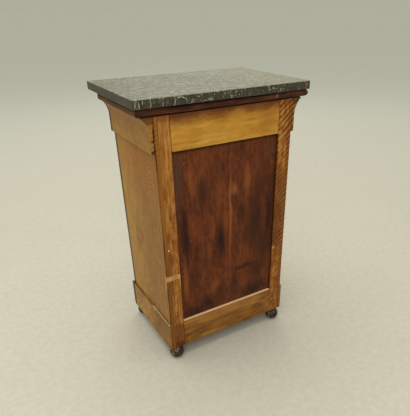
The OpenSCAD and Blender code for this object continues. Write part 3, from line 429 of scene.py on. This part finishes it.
def dress_back_frame():
    """Two rails and two stiles: waxed, ribbed and mended, with a stain and painted shade under the
    moulding
    """
    raw, joint = srgb(228, 194, 148), srgb(70, 38, 16)
    y = BACK_Y

    def rail_ends(s, colour):
        """The dark joint between a rail and its stiles"""
        line = s.ease(s.across(), (STILE_X - 2.2) * MM, (STILE_X - 0.8) * MM)
        return s.mix(s.times(line, 0.7), colour, joint)

    def top_rail_marks(s, colour):
        """A stain that has run down from the moulding in patches, darkest at the top, and painted shade
        under the moulding
        """
        colour = s.blotches(colour, (0.016, 0.016, 0.06), (srgb(150, 86, 34), 0.3, 2.0),
                            (srgb(206, 158, 78), 0.3, 7.0))
        height = s.split(s.shaken(18.0, 0.014))[Z]
        patchy = s.ease(s.noise(s.per_mm(0.03, 0.03, 0.07), detail=3.0, roughness=0.6), 0.36, 0.6)
        stain = s.times(s.ease(height, 682 * MM, 716 * MM), s.ease(patchy, 0.0, 1.0, 0.45, 0.9))
        colour = s.mix(stain, colour, srgb(132, 78, 32))
        # Painted shadow of the moulding along the top of the rail
        moulding_shadow = s.times(s.ease(height, 702 * MM, 720 * MM), 0.85)
        colour = s.mix(moulding_shadow, colour, srgb(88, 50, 24))
        colour = painted(((116, y, 664), (64, 20, 34), srgb(198, 146, 54), 0.45),
                         ((-84, y, 712), (84, 20, 17), srgb(132, 80, 34), 0.6),
                         ((124, y, 704), (46, 20, 20), srgb(138, 82, 38), 0.5),
                         ((46, y, 710), (84, 20, 15), srgb(120, 66, 28), 0.6),
                         ((20, y, 690), (40, 20, 7), srgb(142, 92, 42), 0.5),
                         ((-124, y, 678), (50, 20, 40), srgb(146, 84, 36), 0.5),
                         ((-70, y, 684), (40, 20, 6), srgb(148, 90, 36), 0.5),
                         ((96, y, 652), (30, 20, 6), srgb(156, 98, 34), 0.5))(s, colour)
        return rail_ends(s, colour)

    def low_rail_marks(s, colour):
        """Paler along the middle of its upper half, with the raw edge under the boards"""
        colour = s.blotches(colour, (0.02, 0.02, 0.05), (srgb(88, 48, 18), 0.45, 1.0),
                            (srgb(158, 116, 52), 0.4, 5.0))
        lighter = s.times(s.band(Z, 102, 140, 9, at=s.shaken(8.0, 0.02)), s.band(X, -96, 96, 30),
                          0.42)
        colour = s.mix(lighter, colour, srgb(184, 128, 66))
        colour = painted(((72, y, 78), (40, 20, 30), srgb(104, 52, 22), 0.5),
                         ((-104, y, 74), (40, 20, 26), srgb(118, 60, 28), 0.3),
                         ((4, y, 76), (28, 20, 16), srgb(160, 112, 52), 0.35))(s, colour)
        ledge = s.band(Z, PLINTH_TOP - 1.0, PLINTH_TOP + 5, 0.8, at=s.shaken(0.8, 0.05))
        colour = s.mix(s.times(ledge, 0.95), colour, raw)
        return rail_ends(s, colour)

    put_on(wood("back_top_rail_wood", "x", TOP_RAIL_TONES, 7, ring=16, streaks=0.26, clouds=0.34,
                mottle=0.12, pores=0.15, fibres=0.15, marks=top_rail_marks), "back_top_rail")
    put_on(wood("back_bottom_rail_wood", "x", LOW_RAIL_TONES, 8, ring=10, streaks=0.26, clouds=0.4,
                mottle=0.12, fibres=0.15, marks=low_rail_marks), "back_bottom_rail")

    def inner_face_shade(s, colour):
        """Painted shade on the stile's narrow face beside the boards, in the recess"""
        stain_and_shade = s.ease(s.across(), (STILE_X + 0.7) * MM, (STILE_X + 0.3) * MM, 0.0, 0.85)
        return s.mix(stain_and_shade, colour, srgb(58, 30, 14))

    def ruddy(s, colour, shift):
        """Red and golden blotches"""
        return s.blotches(colour, (0.07, 0.07, 0.035), (srgb(128, 58, 22), 0.6, shift),
                          (srgb(192, 134, 64), 0.5, shift + 4.0))

    def near_stile_marks(s, colour):
        """Pale at the top but for painted shade under the moulding, dark and red at the foot, with the
        pale repair and a white nick
        """
        ragged = s.shaken(4.0, 0.05)
        rightward = s.split(s.at)[X]
        colour = ruddy(s, colour, 20.0)
        outward = s.ease(rightward, 172 * MM, 187 * MM, 0.0, 0.35)
        colour = s.mix(outward, colour, srgb(96, 50, 20))
        light_top = s.times(s.band(Z, 590, 800, 100), 0.36)
        colour = s.mix(light_top, colour, srgb(192, 130, 58))
        colour = s.blotches(colour, (0.2, 0.2, 0.016), (srgb(212, 156, 82), 0.45, 41.0),
                            (srgb(116, 60, 22), 0.5, 44.0))
        # Painted shade at the top of the stile, under the moulding
        shade_under_moulding = s.times(s.band(Z, 712, 800, 10, at=ragged), 0.6)
        colour = s.mix(shade_under_moulding, colour, srgb(112, 64, 26))
        worn = s.times(s.band(Z, REPAIR_WORN, REPAIR_LOW + 2, 10, at=ragged),
                       s.ease(rightward, 163 * MM, 160 * MM), 0.7)
        colour = s.mix(worn, colour, BARE_WOOD)
        ends = s.math("MAXIMUM", s.ease(rightward, 170 * MM, 162 * MM),
                      s.ease(rightward, 180 * MM, 187 * MM))
        repair = s.times(s.band(Z, REPAIR_LOW, REPAIR_HIGH, 4, at=ragged),
                         s.ease(ends, 0.0, 1.0, 0.5, 0.95))
        colour = s.mix(repair, colour, BARE_WOOD)
        red_foot = s.times(s.band(Z, 0, PLINTH_TOP - 14, 14, at=ragged), 0.65)
        colour = s.mix(red_foot, colour, srgb(92, 46, 20))
        dark_foot = s.times(s.band(Z, 0, 54, 12, at=s.shaken(14.0, 0.05)), 0.42)
        colour = inner_face_shade(s, s.mix(dark_foot, colour, srgb(40, 22, 12)))
        nick = s.spot((186.6, y, 377), (2.6, 9, 2.6), core=0.5)
        return s.mix(nick, colour, srgb(236, 226, 206))

    def far_stile_marks(s, colour):
        """Shaded half-way up, with a pale nick"""
        colour = ruddy(s, colour, 31.0)
        shade = s.times(s.band(Z, 300, 500, 60, at=s.shaken(20.0, 0.02)), 0.6)
        colour = inner_face_shade(s, s.mix(shade, colour, srgb(92, 46, 20)))
        nick = s.spot((-164, y, 285), (8, 9, 7), at=s.shaken(2.0, 0.08), core=0.3)
        return s.mix(s.times(nick, 0.7), colour, BARE_WOOD)

    near = dict(streaks=0.24, clouds=0.4, mottle=0.4, rings=0.08, wear=srgb(176, 118, 56),
                figure=lambda s: rope(s, *ROPES["right"]), marks=near_stile_marks)
    far = dict(streaks=0.16, clouds=0.26, mottle=0.3, rings=0.06, wear=srgb(160, 104, 48),
               figure=lambda s: rope(s, *ROPES["left"]), marks=far_stile_marks)
    put_on(wood("back_stile_right_wood", "z", STILE_TONES, 11, **near), "back_stile_right")
    put_on(wood("back_stile_left_wood", "z", STILE_TONES, 12, **far), "back_stile_left")


# ---- Sides ----

def outer_face(s):
    """1 on the outer faces of the two sides, 0 elsewhere"""
    return s.ease(s.across(), (SIDE_X - 0.6) * MM, (SIDE_X - 0.2) * MM)


def front_corner(s, colour):
    """The dark line along the front corner of the side"""
    corner = s.ease(s.split(s.at)[Y], -112 * MM, -118 * MM, 0.0, 0.85)
    return s.mix(s.times(corner, outer_face(s)), colour, srgb(56, 34, 18))


def dress_sides():
    """Faded golden panels, friezes and plinths, whose rear edges show on the back"""
    def arches(s):
        """Nested arches in the grain, low on the rear of the panel's upper half"""
        place = s.split(s.shaken(3.0, 0.02))
        away = s.math("SUBTRACT", place[Y], 112 * MM)
        drop = s.math("ADD", s.math("SUBTRACT", place[Z], 606 * MM),
                      s.times(away, away, 0.022 / MM))
        line = s.math("POWER", s.wave(s.math("DIVIDE", drop, 13 * MM)), 0.6)
        near = s.spot((SIDE_X, 116, 578), (40, 56, 64), at=s.shaken(8.0, 0.03), core=0.2)
        return s.times(s.math("MULTIPLY_ADD", line, 1.3, -0.75), near)

    def patinated(s, colour):
        """Golden and reddish blotches"""
        colour = s.blotches(colour, (0.022, 0.022, 0.012), (srgb(184, 142, 66), 0.36, 5.0),
                            (srgb(142, 86, 42), 0.4, 11.0))
        return s.blotches(colour, (0.1, 0.1, 0.04), (srgb(194, 154, 84), 0.32, 17.0),
                          (srgb(118, 68, 32), 0.32, 19.0))

    def rear_end(s, colour, side, level):
        """The piece's rear edge, which carries the figure of the stile beside it"""
        end = s.band(Y, BACK_Y - 0.6, BACK_Y + 5, 0.5)
        lighter = s.ease(s.split(s.at)[Z], 300 * MM, 470 * MM, 0.0, 0.3 if side == "right" else 0.0)
        tone = s.math("ADD", s.math("ADD", rope(s, *ROPES[side]), level), lighter)
        return end, s.mix(s.times(end, 0.85), colour, s.toned(tone, STILE_TONES))

    def panel_marks(side):
        def marks(s, colour):
            """Browner behind, warmer above and in front, with an open joint over the plinth"""
            colour = patinated(s, colour)
            rear = s.times(s.band(Y, 60, 200, 90), 0.35)
            colour = s.mix(rear, colour, srgb(126, 82, 38))
            high = s.ease(s.split(s.at)[Z], 440 * MM, 630 * MM, 0.0, 0.55)
            colour = s.mix(high, colour, srgb(160, 100, 30))
            forward = s.ease(s.split(s.at)[Y], 0.0, -110 * MM, 0.0, 0.36)
            colour = s.mix(forward, colour, srgb(186, 142, 66))
            colour = front_corner(s, colour)
            gap = s.times(s.band(Z, PLINTH_TOP - 5, PLINTH_TOP + 4.0, 1.0), s.band(Y, 40, 160, 20))
            colour = s.mix(s.times(gap, outer_face(s), 0.9), colour, srgb(44, 28, 16))
            colour = painted(((SIDE_X, -22, 287), (10, 14, 12), srgb(186, 146, 52), 0.6),
                             ((SIDE_X, -60, 330), (10, 16, 60), srgb(180, 140, 56), 0.45),
                             ((SIDE_X, 20, 460), (10, 26, 70), srgb(164, 128, 58), 0.3))(s, colour)
            end, colour = rear_end(s, colour, side, 0.3)
            if side == "right":
                colour = open_joints(s, colour, end)
            return colour
        return marks

    def open_joints(s, colour, end):
        """Dark joints along the rear edge, and the end of the pale repair that the stile has"""
        inner = s.ease(s.across(), (STILE_END + 2.0) * MM, (STILE_END + 1.0) * MM, 0.0, 0.35)
        corner = s.ease(s.across(), (SIDE_X - 3.4) * MM, (SIDE_X - 2.4) * MM)
        open_here = s.ease(s.noise(s.per_mm(0.1, 0.1, 0.014), detail=2.0), 0.4, 0.56, 0.35, 0.85)
        line = s.times(s.math("MAXIMUM", inner, corner), s.band(Y, BACK_Y - 2.0, BACK_Y + 5, 0.8))
        colour = s.mix(s.times(line, open_here), colour, srgb(64, 34, 16))
        ragged = s.shaken(4.0, 0.05)
        repair = s.times(end, s.band(Z, REPAIR_LOW, REPAIR_HIGH, 4, at=ragged), 0.85)
        worn = s.times(outer_face(s), s.band(Z, REPAIR_WORN, REPAIR_HIGH - 3, 10, at=ragged),
                       s.band(Y, 143, 150, 3), 0.6)
        return s.mix(s.math("MAXIMUM", repair, worn), colour, BARE_WOOD)

    def plinth_marks(s, colour):
        """Streaks, a dark ledge, and a pale edge over a groove along the rear half"""
        colour = patinated(s, colour)
        colour = s.blotches(colour, (0.03, 0.03, 0.11), (srgb(208, 166, 94), 0.5, 51.0),
                            (srgb(96, 58, 28), 0.45, 54.0))
        ledge = s.times(s.facing(Z), 0.62)
        colour = s.mix(ledge, colour, srgb(78, 48, 22))
        wavy = s.shaken(0.8, 0.05)
        pale = s.times(s.band(Z, PLINTH_TOP - 2.4, PLINTH_TOP + 5, 0.8, at=wavy),
                       s.band(Y, 42, 150, 16), 0.9)
        colour = s.mix(pale, colour, srgb(204, 172, 122))
        groove = s.times(s.band(Z, PLINTH_TOP - 7.0, PLINTH_TOP - 4.2, 0.8, at=wavy),
                         s.band(Y, 60, 148, 12), 0.85)
        colour = s.mix(groove, colour, srgb(72, 44, 22))
        rear = s.times(s.band(Y, 70, 200, 60), 0.5)
        return front_corner(s, s.mix(rear, colour, srgb(108, 70, 32)))

    def frieze_marks(side):
        def marks(s, colour):
            """Shade under the moulding, and end wood behind with an open joint and splits"""
            colour = patinated(s, colour)
            height = s.split(s.at)[Z]
            colour = s.mix(s.ease(height, 660 * MM, 700 * MM, 0.12, 0.3), colour, srgb(150, 94, 30))
            colour = s.mix(s.ease(height, 704 * MM, 722 * MM, 0.0, 0.45), colour, srgb(80, 52, 26))
            end, colour = rear_end(s, colour, side, 0.45)
            shade = s.times(end, s.ease(height, 696 * MM, 712 * MM), 0.65)
            colour = s.mix(shade, colour, srgb(66, 38, 18))
            beside = s.ease(s.across(), (SIDE_X + 2.4) * MM, (SIDE_X + 1.4) * MM)
            gap = s.times(beside, s.band(Z, FRIEZE_LOW, 694, 6), end)
            colour = s.mix(gap, colour, srgb(26, 16, 10))
            if side == "right":
                ragged = s.shaken(3.0, 0.12)
                for centre, reach in (((199, BACK_Y, 668), (12, 5, 6)),
                                      ((204, BACK_Y, 642), (9, 5, 7))):
                    split = s.times(s.spot(centre, reach, at=ragged, core=0.4), 0.85)
                    colour = s.mix(split, colour, srgb(40, 24, 14))
            return front_corner(s, colour)
        return marks

    worn, dark = srgb(166, 124, 62), srgb(52, 32, 18)
    faded = dict(streaks=0.1, clouds=0.34, mottle=0.14, rings=0.05, pores=0.12, fibres=0.12,
                 shine=(0.42, 0.54))
    for side, seed in (("left", 21), ("right", 22)):
        put_on(wood(f"side_panel_{side}_wood", "z", SIDE_TONES, seed, ring=22, figure=arches,
                    marks=panel_marks(side), wear=worn, **faded), f"side_panel_{side}")
        put_on(wood(f"side_frieze_{side}_wood", "y", SIDE_TONES, seed + 2, ring=16,
                    marks=frieze_marks(side), wear=dark, **faded), f"side_frieze_{side}")
        put_on(wood(f"side_plinth_{side}_wood", "y", SIDE_TONES, seed + 4, ring=14,
                    marks=plinth_marks, wear=worn, **faded), f"side_plinth_{side}")


# ---- Moulding, front, inside and feet ----

def dress_moulding():
    """Dark red boards behind and in front, browner ones along the sides"""
    # The middle of the back board's round face
    y = BACK_Y + 8
    worn = painted(((-140, y, 732), (7, 9, 9), srgb(150, 96, 62), 0.8),
                   ((-214, y, 732), (30, 9, 8), srgb(96, 54, 34), 0.7),
                   ((200, y, 732), (60, 9, 9), srgb(92, 50, 30), 0.5))
    for side, seed in (("left", 32), ("right", 33)):
        put_on(wood(f"top_moulding_{side}_wood", "y", SIDE_MOULDING_TONES, seed, ring=5, streaks=0.34,
                    shine=(0.5, 0.62), gloss=0.05), f"top_moulding_{side}")
    for side, seed, marks in (("back", 31, worn), ("front", 34, None)):
        put_on(wood(f"top_moulding_{side}_wood", "x", MOULDING_TONES, seed, ring=5, streaks=0.4,
                    marks=marks, shine=(0.34, 0.46)), f"top_moulding_{side}")


def dress_front():
    """Polished mahogany, with a crossed figure on the door's panel"""
    polish = dict(shine=(0.26, 0.38), gloss=0.4, coat=0.3, wear=srgb(140, 84, 40))
    level = ("front_plinth", "front_top_rail", "drawer_divider_rail", "front_bottom_rail",
             "drawer_front", "door_top_rail", "door_bottom_rail")
    for seed, name in enumerate(level, 51):
        put_on(wood(f"{name}_wood", "x", FRONT_TONES, seed, ring=9, **polish), name)

    def outer_side(s, colour):
        """The tones of the side on the stile's outer face, which is part of it"""
        tone = s.noise(s.per_mm(0.2, 0.2, 0.012), detail=3.0)
        colour = s.mix(outer_face(s), colour, s.toned(tone, SIDE_TONES))
        return front_corner(s, colour)

    for seed, name in enumerate(("front_stile_left", "front_stile_right"), 41):
        put_on(wood(f"{name}_wood", "z", FRONT_TONES, seed, ring=8, marks=outer_side, gloss=0.12,
                    shine=(0.36, 0.5), wear=srgb(84, 50, 26)), name)
    for seed, name in enumerate(("door_hinge_stile", "door_lock_stile"), 45):
        put_on(wood(f"{name}_wood", "z", FRONT_TONES, seed, ring=8, **polish), name)

    def flame(s):
        """The crossed figure of wood sawn through a fork: feathers that rise to the middle"""
        place = s.split(s.shaken(14.0, 0.012))
        spread = s.math("ABSOLUTE", place[X])
        arch = s.math("SUBTRACT", place[Z], s.times(spread, 1.2))
        along, aside = s.times(arch, 0.05 / MM), s.times(spread, 0.012 / MM)
        feather = s.noise(s.join(along, aside, 0.0), detail=3.0, roughness=0.6)
        middle = s.ease(spread, 105 * MM, 10 * MM, 0.6, 2.6)
        return s.times(s.math("SUBTRACT", feather, 0.5), middle)

    put_on(wood("door_panel_wood", "z", FRONT_TONES, 61, ring=14, figure=flame, **polish), "door_panel")
    put_on(wood("door_panel_beads_wood", "z", MOULDING_TONES, 62, ring=5, shine=(0.24, 0.36),
                coat=0.35), "door_panel_beads")


def dress_inside():
    """Plain unpolished boards"""
    plain = dict(shine=(0.55, 0.7), ring=6, streaks=0.25, clouds=0.2, mottle=0.1)
    for seed, name in enumerate(("cupboard_floor", "shelf", "dust_board"), 71):
        put_on(wood(f"{name}_wood", "x", INSIDE_TONES, seed, **plain), name)
    lengthwise = ("floor_bearer_left", "floor_bearer_right", "shelf_cleat_left", "shelf_cleat_right",
                  "drawer_runner_left", "drawer_runner_right", "drawer_guides", "drawer_kickers")
    for seed, name in enumerate(lengthwise, 81):
        put_on(wood(f"{name}_wood", "y", INSIDE_TONES, seed, **plain), name)
    put_on(wood("door_stop_strip_wood", "z", INSIDE_TONES, 91, **plain), "door_stop_strip")
    for seed, (name, grain) in enumerate((("drawer_side_left", "y"), ("drawer_side_right", "y"),
                                          ("drawer_back", "x"), ("drawer_bottom", "x")), 95):
        put_on(wood(f"{name}_wood", grain, DRAWER_TONES, seed, **plain), name)


def dress_feet():
    """Dark turned feet with worn rims"""
    for seed, place in enumerate(("front_left", "front_right", "back_left", "back_right"), 101):
        put_on(wood(f"foot_{place}_wood", "z", FOOT_TONES, seed, ring=4, clouds=0.3, mottle=0.8,
                    pores=0.6, shine=(0.34, 0.5), gloss=0.25, wear=srgb(96, 70, 52)), f"foot_{place}")


# ---- Metal ----

def metal(name, bright, dull, shine):
    """Metal with a cloudy tarnish and fine scratches"""
    s = Shader(name, Metallic=1.0)
    cloud = s.noise(s.per_mm(0.12), detail=4.0, roughness=0.65)
    scratch = s.noise(s.per_mm(0.5, 0.5, 6.0), detail=2.0)
    colour = s.mix(s.ease(cloud, 0.35, 0.7), bright, dull)
    s.relief(scratch, 0.02)
    return s.finish(colour, s.ease(cloud, 0.3, 0.7, *shine))


def dress_metal():
    """Brass hinges and plates, and a steel lock and key"""
    put_on(metal("aged_brass", srgb(206, 172, 96), srgb(140, 106, 52), (0.22, 0.45)),
           "hinge_frame_leaves", "hinge_door_leaves", "hinge_pins", "hinge_frame_screws",
           "hinge_door_screws", "escutcheon", "strike_plate")
    put_on(metal("dull_steel", srgb(156, 152, 146), srgb(96, 90, 84), (0.3, 0.55)),
           "lock_case", "lock_bolt", "key")


# ---- Marble ----

# The slab's back edge, half its height up and its top, in millimetres
SLAB_BACK, SLAB_MIDDLE, SLAB_TOP = 165, 752, 762


def marble():
    """Dark marble crowded with fossil specks, broken shells and short white veins"""
    back, middle = SLAB_BACK, SLAB_MIDDLE
    s = Shader("fossil_marble", Specular_IOR_Level=0.4)
    ground = s.noise(s.per_mm(0.06), detail=7.0, roughness=0.75)
    grain = s.noise(s.per_mm(0.45), detail=3.0, roughness=0.7)
    colour = s.mix(s.ease(ground, 0.3, 0.7), srgb(34, 30, 22), srgb(66, 60, 44))
    colour = s.mix(s.ease(grain, 0.52, 0.72, 0.0, 0.7), colour, srgb(122, 116, 94))
    bent = s.shaken(3.0, 0.08)
    speck = s.ease(s.cells(s.vector("MULTIPLY", bent, (140.0, 140.0, 140.0))), 0.26, 0.12)
    few = s.ease(s.noise(s.per_mm(0.09), detail=1.0), 0.5, 0.62)
    shifted = s.vector("ADD", s.shaken(7.0, 0.05), (0.52, 0.09, 0.21))
    crack = s.cells(s.vector("MULTIPLY", shifted, (52.0, 46.0, 24.0)), feature="DISTANCE_TO_EDGE")
    broken = s.ease(s.noise(s.per_mm(0.11), detail=2.0), 0.46, 0.58)
    veined = s.ease(s.noise(s.per_mm(0.013), detail=1.0), 0.42, 0.6, 0.2, 1.0)
    # The stretches of the edge that show the most white in the photograph
    for centre, reach in (((236, back, middle), (26, 30, 30)), ((134, back, middle), (64, 20, 30)),
                          ((-20, back, middle), (24, 14, 20)), ((-106, back, middle), (26, 14, 20))):
        veined = s.math("MAXIMUM", veined, s.times(s.spot(centre, reach), 1.5))
    vein = s.times(s.ease(crack, 0.06, 0.0), broken, veined, 0.7)
    white = s.math("MAXIMUM", vein, s.times(speck, few, s.ease(veined, 0.2, 0.8, 0.4, 0.75)))
    # The pale streaks beside the corner that the photograph shows nearest
    wavy = s.shaken(3.0, 0.12)
    for centre, reach in (((241, back, middle), (2.2, 6, 10)), ((232, back, middle - 2), (2.6, 6, 12)),
                          ((224, back, middle + 4), (1.6, 6, 7)), ((176, back, middle - 4), (1.6, 6, 8))):
        streak = s.times(s.spot(centre, reach, at=wavy, core=0.2), 0.7)
        white = s.math("MAXIMUM", white, streak)
    colour = s.mix(s.math("MINIMUM", white, 0.9), colour, srgb(178, 174, 150))
    # A dull pale film on the top that is partly painted sheen, with light and dark flecks, and a paler
    # painted sheen towards the left
    top = s.facing(Z)
    film_and_sheen = s.noise(s.per_mm(0.035, 0.08, 0.05), detail=5.0, roughness=0.7)
    colour = s.mix(s.times(top, s.ease(film_and_sheen, 0.36, 0.64, 0.16, 0.58)), colour, srgb(133, 133, 106))
    colour = s.mix(s.times(top, white, 0.22), colour, srgb(196, 192, 166))
    fleck = s.noise(s.per_mm(0.1, 0.075, 0.08), detail=3.0, roughness=0.7)
    colour = s.mix(s.times(top, s.ease(fleck, 0.55, 0.68), 0.5), colour, srgb(200, 201, 178))
    colour = s.mix(s.times(top, s.ease(fleck, 0.46, 0.34), 0.5), colour, srgb(78, 75, 58))
    brown = s.spot((236, -60, SLAB_TOP), (90, 120, 40), at=s.shaken(20.0, 0.03))
    colour = s.mix(s.times(brown, 0.3), colour, srgb(84, 78, 58))
    # Painted sheen, paler towards the left end of the top
    faded = s.times(top, s.ease(s.split(s.at)[X], 60 * MM, -240 * MM), 0.25)
    colour = s.mix(faded, colour, srgb(150, 145, 118))
    # Painted shade on the end face on the right
    shade = s.times(s.facing(X), s.ease(ground, 0.35, 0.65, 0.8, 0.5))
    colour = s.mix(shade, colour, srgb(40, 35, 26))
    s.relief(s.math("SUBTRACT", ground, s.times(speck, 0.3)), 0.1)
    return s.finish(colour, s.ease(ground, 0.3, 0.7, 0.38, 0.52))


# Degrees between the points round a corner of the slab
CORNER_TURN = 15

# Chips along the slab's top edge: their place, half their length and how far they reach in
CHIPS = ((122, -165, 9, 4.0), (72, -165, 7, 3.2), (-222, -165, 8, 3.6), (-18, 165, 6, 2.6),
         (196, 165, 4, 1.6), (-246, -60, 5, 2.0), (246, 40, 4, 1.8), (-100, 165, 3, 1.2))


def slab_outline(half_x, half_y, radius, step):
    """Points round a rectangle with round corners, step apart, with the way outwards at each"""
    points = []
    corners = ((1, 1, 0), (-1, 1, 90), (-1, -1, 180), (1, -1, 270))
    for index, (sx, sy, start) in enumerate(corners):
        centre = Vector((sx * (half_x - radius), sy * (half_y - radius)))
        for turn in range(0, 90 + CORNER_TURN, CORNER_TURN):
            way = Vector((cos(radians(start + turn)), sin(radians(start + turn))))
            points.append((centre + radius * way, way))
        sx, sy, start = corners[(index + 1) % 4]
        way = Vector((cos(radians(start)), sin(radians(start))))
        far = Vector((sx * (half_x - radius), sy * (half_y - radius))) + radius * way
        near, normal = points[-1]
        count = int((far - near).length / step)
        for i in range(1, count):
            points.append((near.lerp(far, i / count), normal))
    return points


def slab():
    """The marble slab, with worn arrises and the chips that its top edge has"""
    low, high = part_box("marble_top")
    arris, radius, step = 0.9 * MM, 4 * MM, 2.5 * MM
    draw = Random(4)
    outline = slab_outline(high.x, high.y, radius, step)
    mesh = bmesh.new()
    # Rings of points from the bottom up: the underside, the face's lower and upper edges, the top
    rings = [[], [], [], []]
    for point, way in outline:
        worn = arris * draw.uniform(0.6, 1.5)
        chip = 0.0
        for x, y, half, reach in CHIPS:
            away = (point - Vector((x, y)) * MM).length / (half * MM)
            if away < 1:
                chip = max(chip, reach * MM * (1 - away ** 2) * draw.uniform(0.75, 1.0))
        inward = (0.8 * arris, 0.0, 0.15 * chip, worn + chip)
        level = (low.z, low.z + arris, high.z - worn - 1.1 * chip, high.z)
        for ring, inset, height in zip(rings, inward, level):
            flat = point - way * inset
            ring.append(mesh.verts.new((flat.x, flat.y, height)))
    count = len(outline)
    for below, above in zip(rings, rings[1:]):
        for i in range(count):
            j = (i + 1) % count
            mesh.faces.new((below[i], below[j], above[j], above[i]))
    mesh.faces.new(rings[-1])
    mesh.faces.new(tuple(reversed(rings[0])))
    bmesh.ops.recalc_face_normals(mesh, faces=mesh.faces)
    piece = add_piece("marble_slab", mesh, marble())
    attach(piece, "carcass")
    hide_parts("marble_top")


# ---- Room, lamps and camera ----

# Half the width of the floor, in metres
FLOOR_REACH = 80


def floor():
    """A plain pale floor, slightly mottled, and paler far away"""
    s = Shader("pale_floor", Specular_IOR_Level=0.1)
    cloud = s.noise(s.per_mm(0.004), detail=3.0)
    fleck = s.ease(s.noise(s.per_mm(0.05), detail=4.0, roughness=0.75), 0.35, 0.65)
    colour = s.mix(cloud, srgb(190, 186, 170), srgb(198, 194, 178))
    colour = s.mix(s.times(fleck, 0.5), colour, srgb(180, 175, 158))
    far = s.ease(s.vector("LENGTH", s.at), 0.9, 4.0)
    colour = s.mix(far, colour, srgb(203, 204, 190))
    material = s.finish(colour, s.ease(cloud, 0.3, 0.7, 0.6, 0.7))
    mesh = bmesh.new()
    bmesh.ops.create_grid(mesh, x_segments=1, y_segments=1, size=FLOOR_REACH)
    add_piece("floor", mesh, material)


# Each lamp's name, place, width, power and colour
LAMPS = (("overhead", (0.4, -0.3, 3.4), 3.2, 62, (1.0, 0.99, 0.96)),
         ("behind", (1.8, 2.8, 2.4), 2.6, 34, (1.0, 0.99, 0.97)),
         ("front", (-1.4, -2.6, 2.6), 2.4, 14, (1.0, 0.99, 0.97)))
LAMP_AIM = (0, 0, 0.4)

# The room's light and the backdrop's colour, each at eye level and overhead
ROOM_LOW = (0.42, 0.41, 0.36, 1)
ROOM_HIGH = (0.86, 0.85, 0.80, 1)
BACKDROP_LOW = srgb(175, 174, 157)
BACKDROP_HIGH = srgb(214, 213, 200)


def lamp(name, place, size, power, colour):
    """A round soft lamp, turned to the middle of the object"""
    data = bpy.data.lights.new(name, "AREA")
    data.shape = "DISK"
    data.size = size
    data.energy = power
    data.color = colour
    made = bpy.data.objects.new(name, data)
    made.location = place
    made.rotation_euler = (Vector(LAMP_AIM) - Vector(place)).to_track_quat("-Z", "Y").to_euler()
    bpy.context.scene.collection.objects.link(made)


def studio():
    """A soft room, darker at eye level than overhead; the camera, gloss and glass see a plain
    pale backdrop instead"""
    world = bpy.data.worlds.new("studio")
    bpy.context.scene.world = world
    world.use_nodes = True
    nodes, links = world.node_tree.nodes, world.node_tree.links
    place = nodes.new("ShaderNodeTexCoord")
    split = nodes.new("ShaderNodeSeparateXYZ")
    climb = nodes.new("ShaderNodeMapRange")
    ray = nodes.new("ShaderNodeLightPath")
    first, shown = nodes.new("ShaderNodeMath"), nodes.new("ShaderNodeMath")
    for node in (first, shown):
        node.operation = "MAXIMUM"
    room, backdrop, seen = (nodes.new("ShaderNodeMix") for _ in range(3))
    for node in (room, backdrop, seen):
        node.data_type = "RGBA"
    for node, low, high in ((room, ROOM_LOW, ROOM_HIGH), (backdrop, BACKDROP_LOW, BACKDROP_HIGH)):
        node.inputs[6].default_value = low
        node.inputs[7].default_value = high
        links.new(climb.outputs[0], node.inputs[0])
    links.new(place.outputs["Generated"], split.inputs[0])
    links.new(split.outputs["Z"], climb.inputs["Value"])
    links.new(ray.outputs["Is Camera Ray"], first.inputs[0])
    links.new(ray.outputs["Is Glossy Ray"], first.inputs[1])
    links.new(first.outputs[0], shown.inputs[0])
    links.new(ray.outputs["Is Transmission Ray"], shown.inputs[1])
    links.new(shown.outputs[0], seen.inputs[0])
    links.new(room.outputs[2], seen.inputs[6])
    links.new(backdrop.outputs[2], seen.inputs[7])
    links.new(seen.outputs[2], nodes["Background"].inputs["Color"])
    nodes["Background"].inputs["Strength"].default_value = 1.0


# The photograph's camera, from a fit to the edges of the object. Pixels are those of the photograph
CAMERA_PLACE = Vector((580.3, 1081.8, 938.1)) * MM
CAMERA_YAW, CAMERA_PITCH, CAMERA_ROLL = radians(31.26), radians(31.29), radians(0.50)
IMAGE_SIZE = (410, 416)
FOCAL_PIXELS = 433.3
AXIS_PIXEL = (223.9, 265.4)
SENSOR = 36.0


def camera():
    """The camera, turned by its yaw, pitch and roll, with the lens shifted to the photograph's axis"""
    forward = Vector((-sin(CAMERA_YAW) * cos(CAMERA_PITCH), -cos(CAMERA_YAW) * cos(CAMERA_PITCH),
                      -sin(CAMERA_PITCH)))
    level = forward.cross(Vector((0, 0, 1))).normalized()
    down = forward.cross(level)
    right = cos(CAMERA_ROLL) * level + sin(CAMERA_ROLL) * down
    up = sin(CAMERA_ROLL) * level - cos(CAMERA_ROLL) * down
    data = bpy.data.cameras.new("photo_camera")
    longer = max(IMAGE_SIZE)
    data.sensor_width = SENSOR
    data.lens = FOCAL_PIXELS * SENSOR / longer
    data.shift_x = (IMAGE_SIZE[0] / 2 - AXIS_PIXEL[0]) / longer
    data.shift_y = (AXIS_PIXEL[1] - IMAGE_SIZE[1] / 2) / longer
    made = bpy.data.objects.new("photo_camera", data)
    turned = Matrix((right, up, -forward)).transposed().to_4x4()
    made.matrix_world = Matrix.Translation(CAMERA_PLACE) @ turned
    bpy.context.scene.collection.objects.link(made)
    bpy.context.scene.camera = made


bpy.context.scene.view_settings.view_transform = "Standard"
camera()
for settings in LAMPS:
    lamp(*settings)
studio()
floor()
slab()
dress_back_boards()
dress_back_frame()
dress_sides()
dress_moulding()
dress_front()
dress_inside()
dress_feet()
dress_metal()
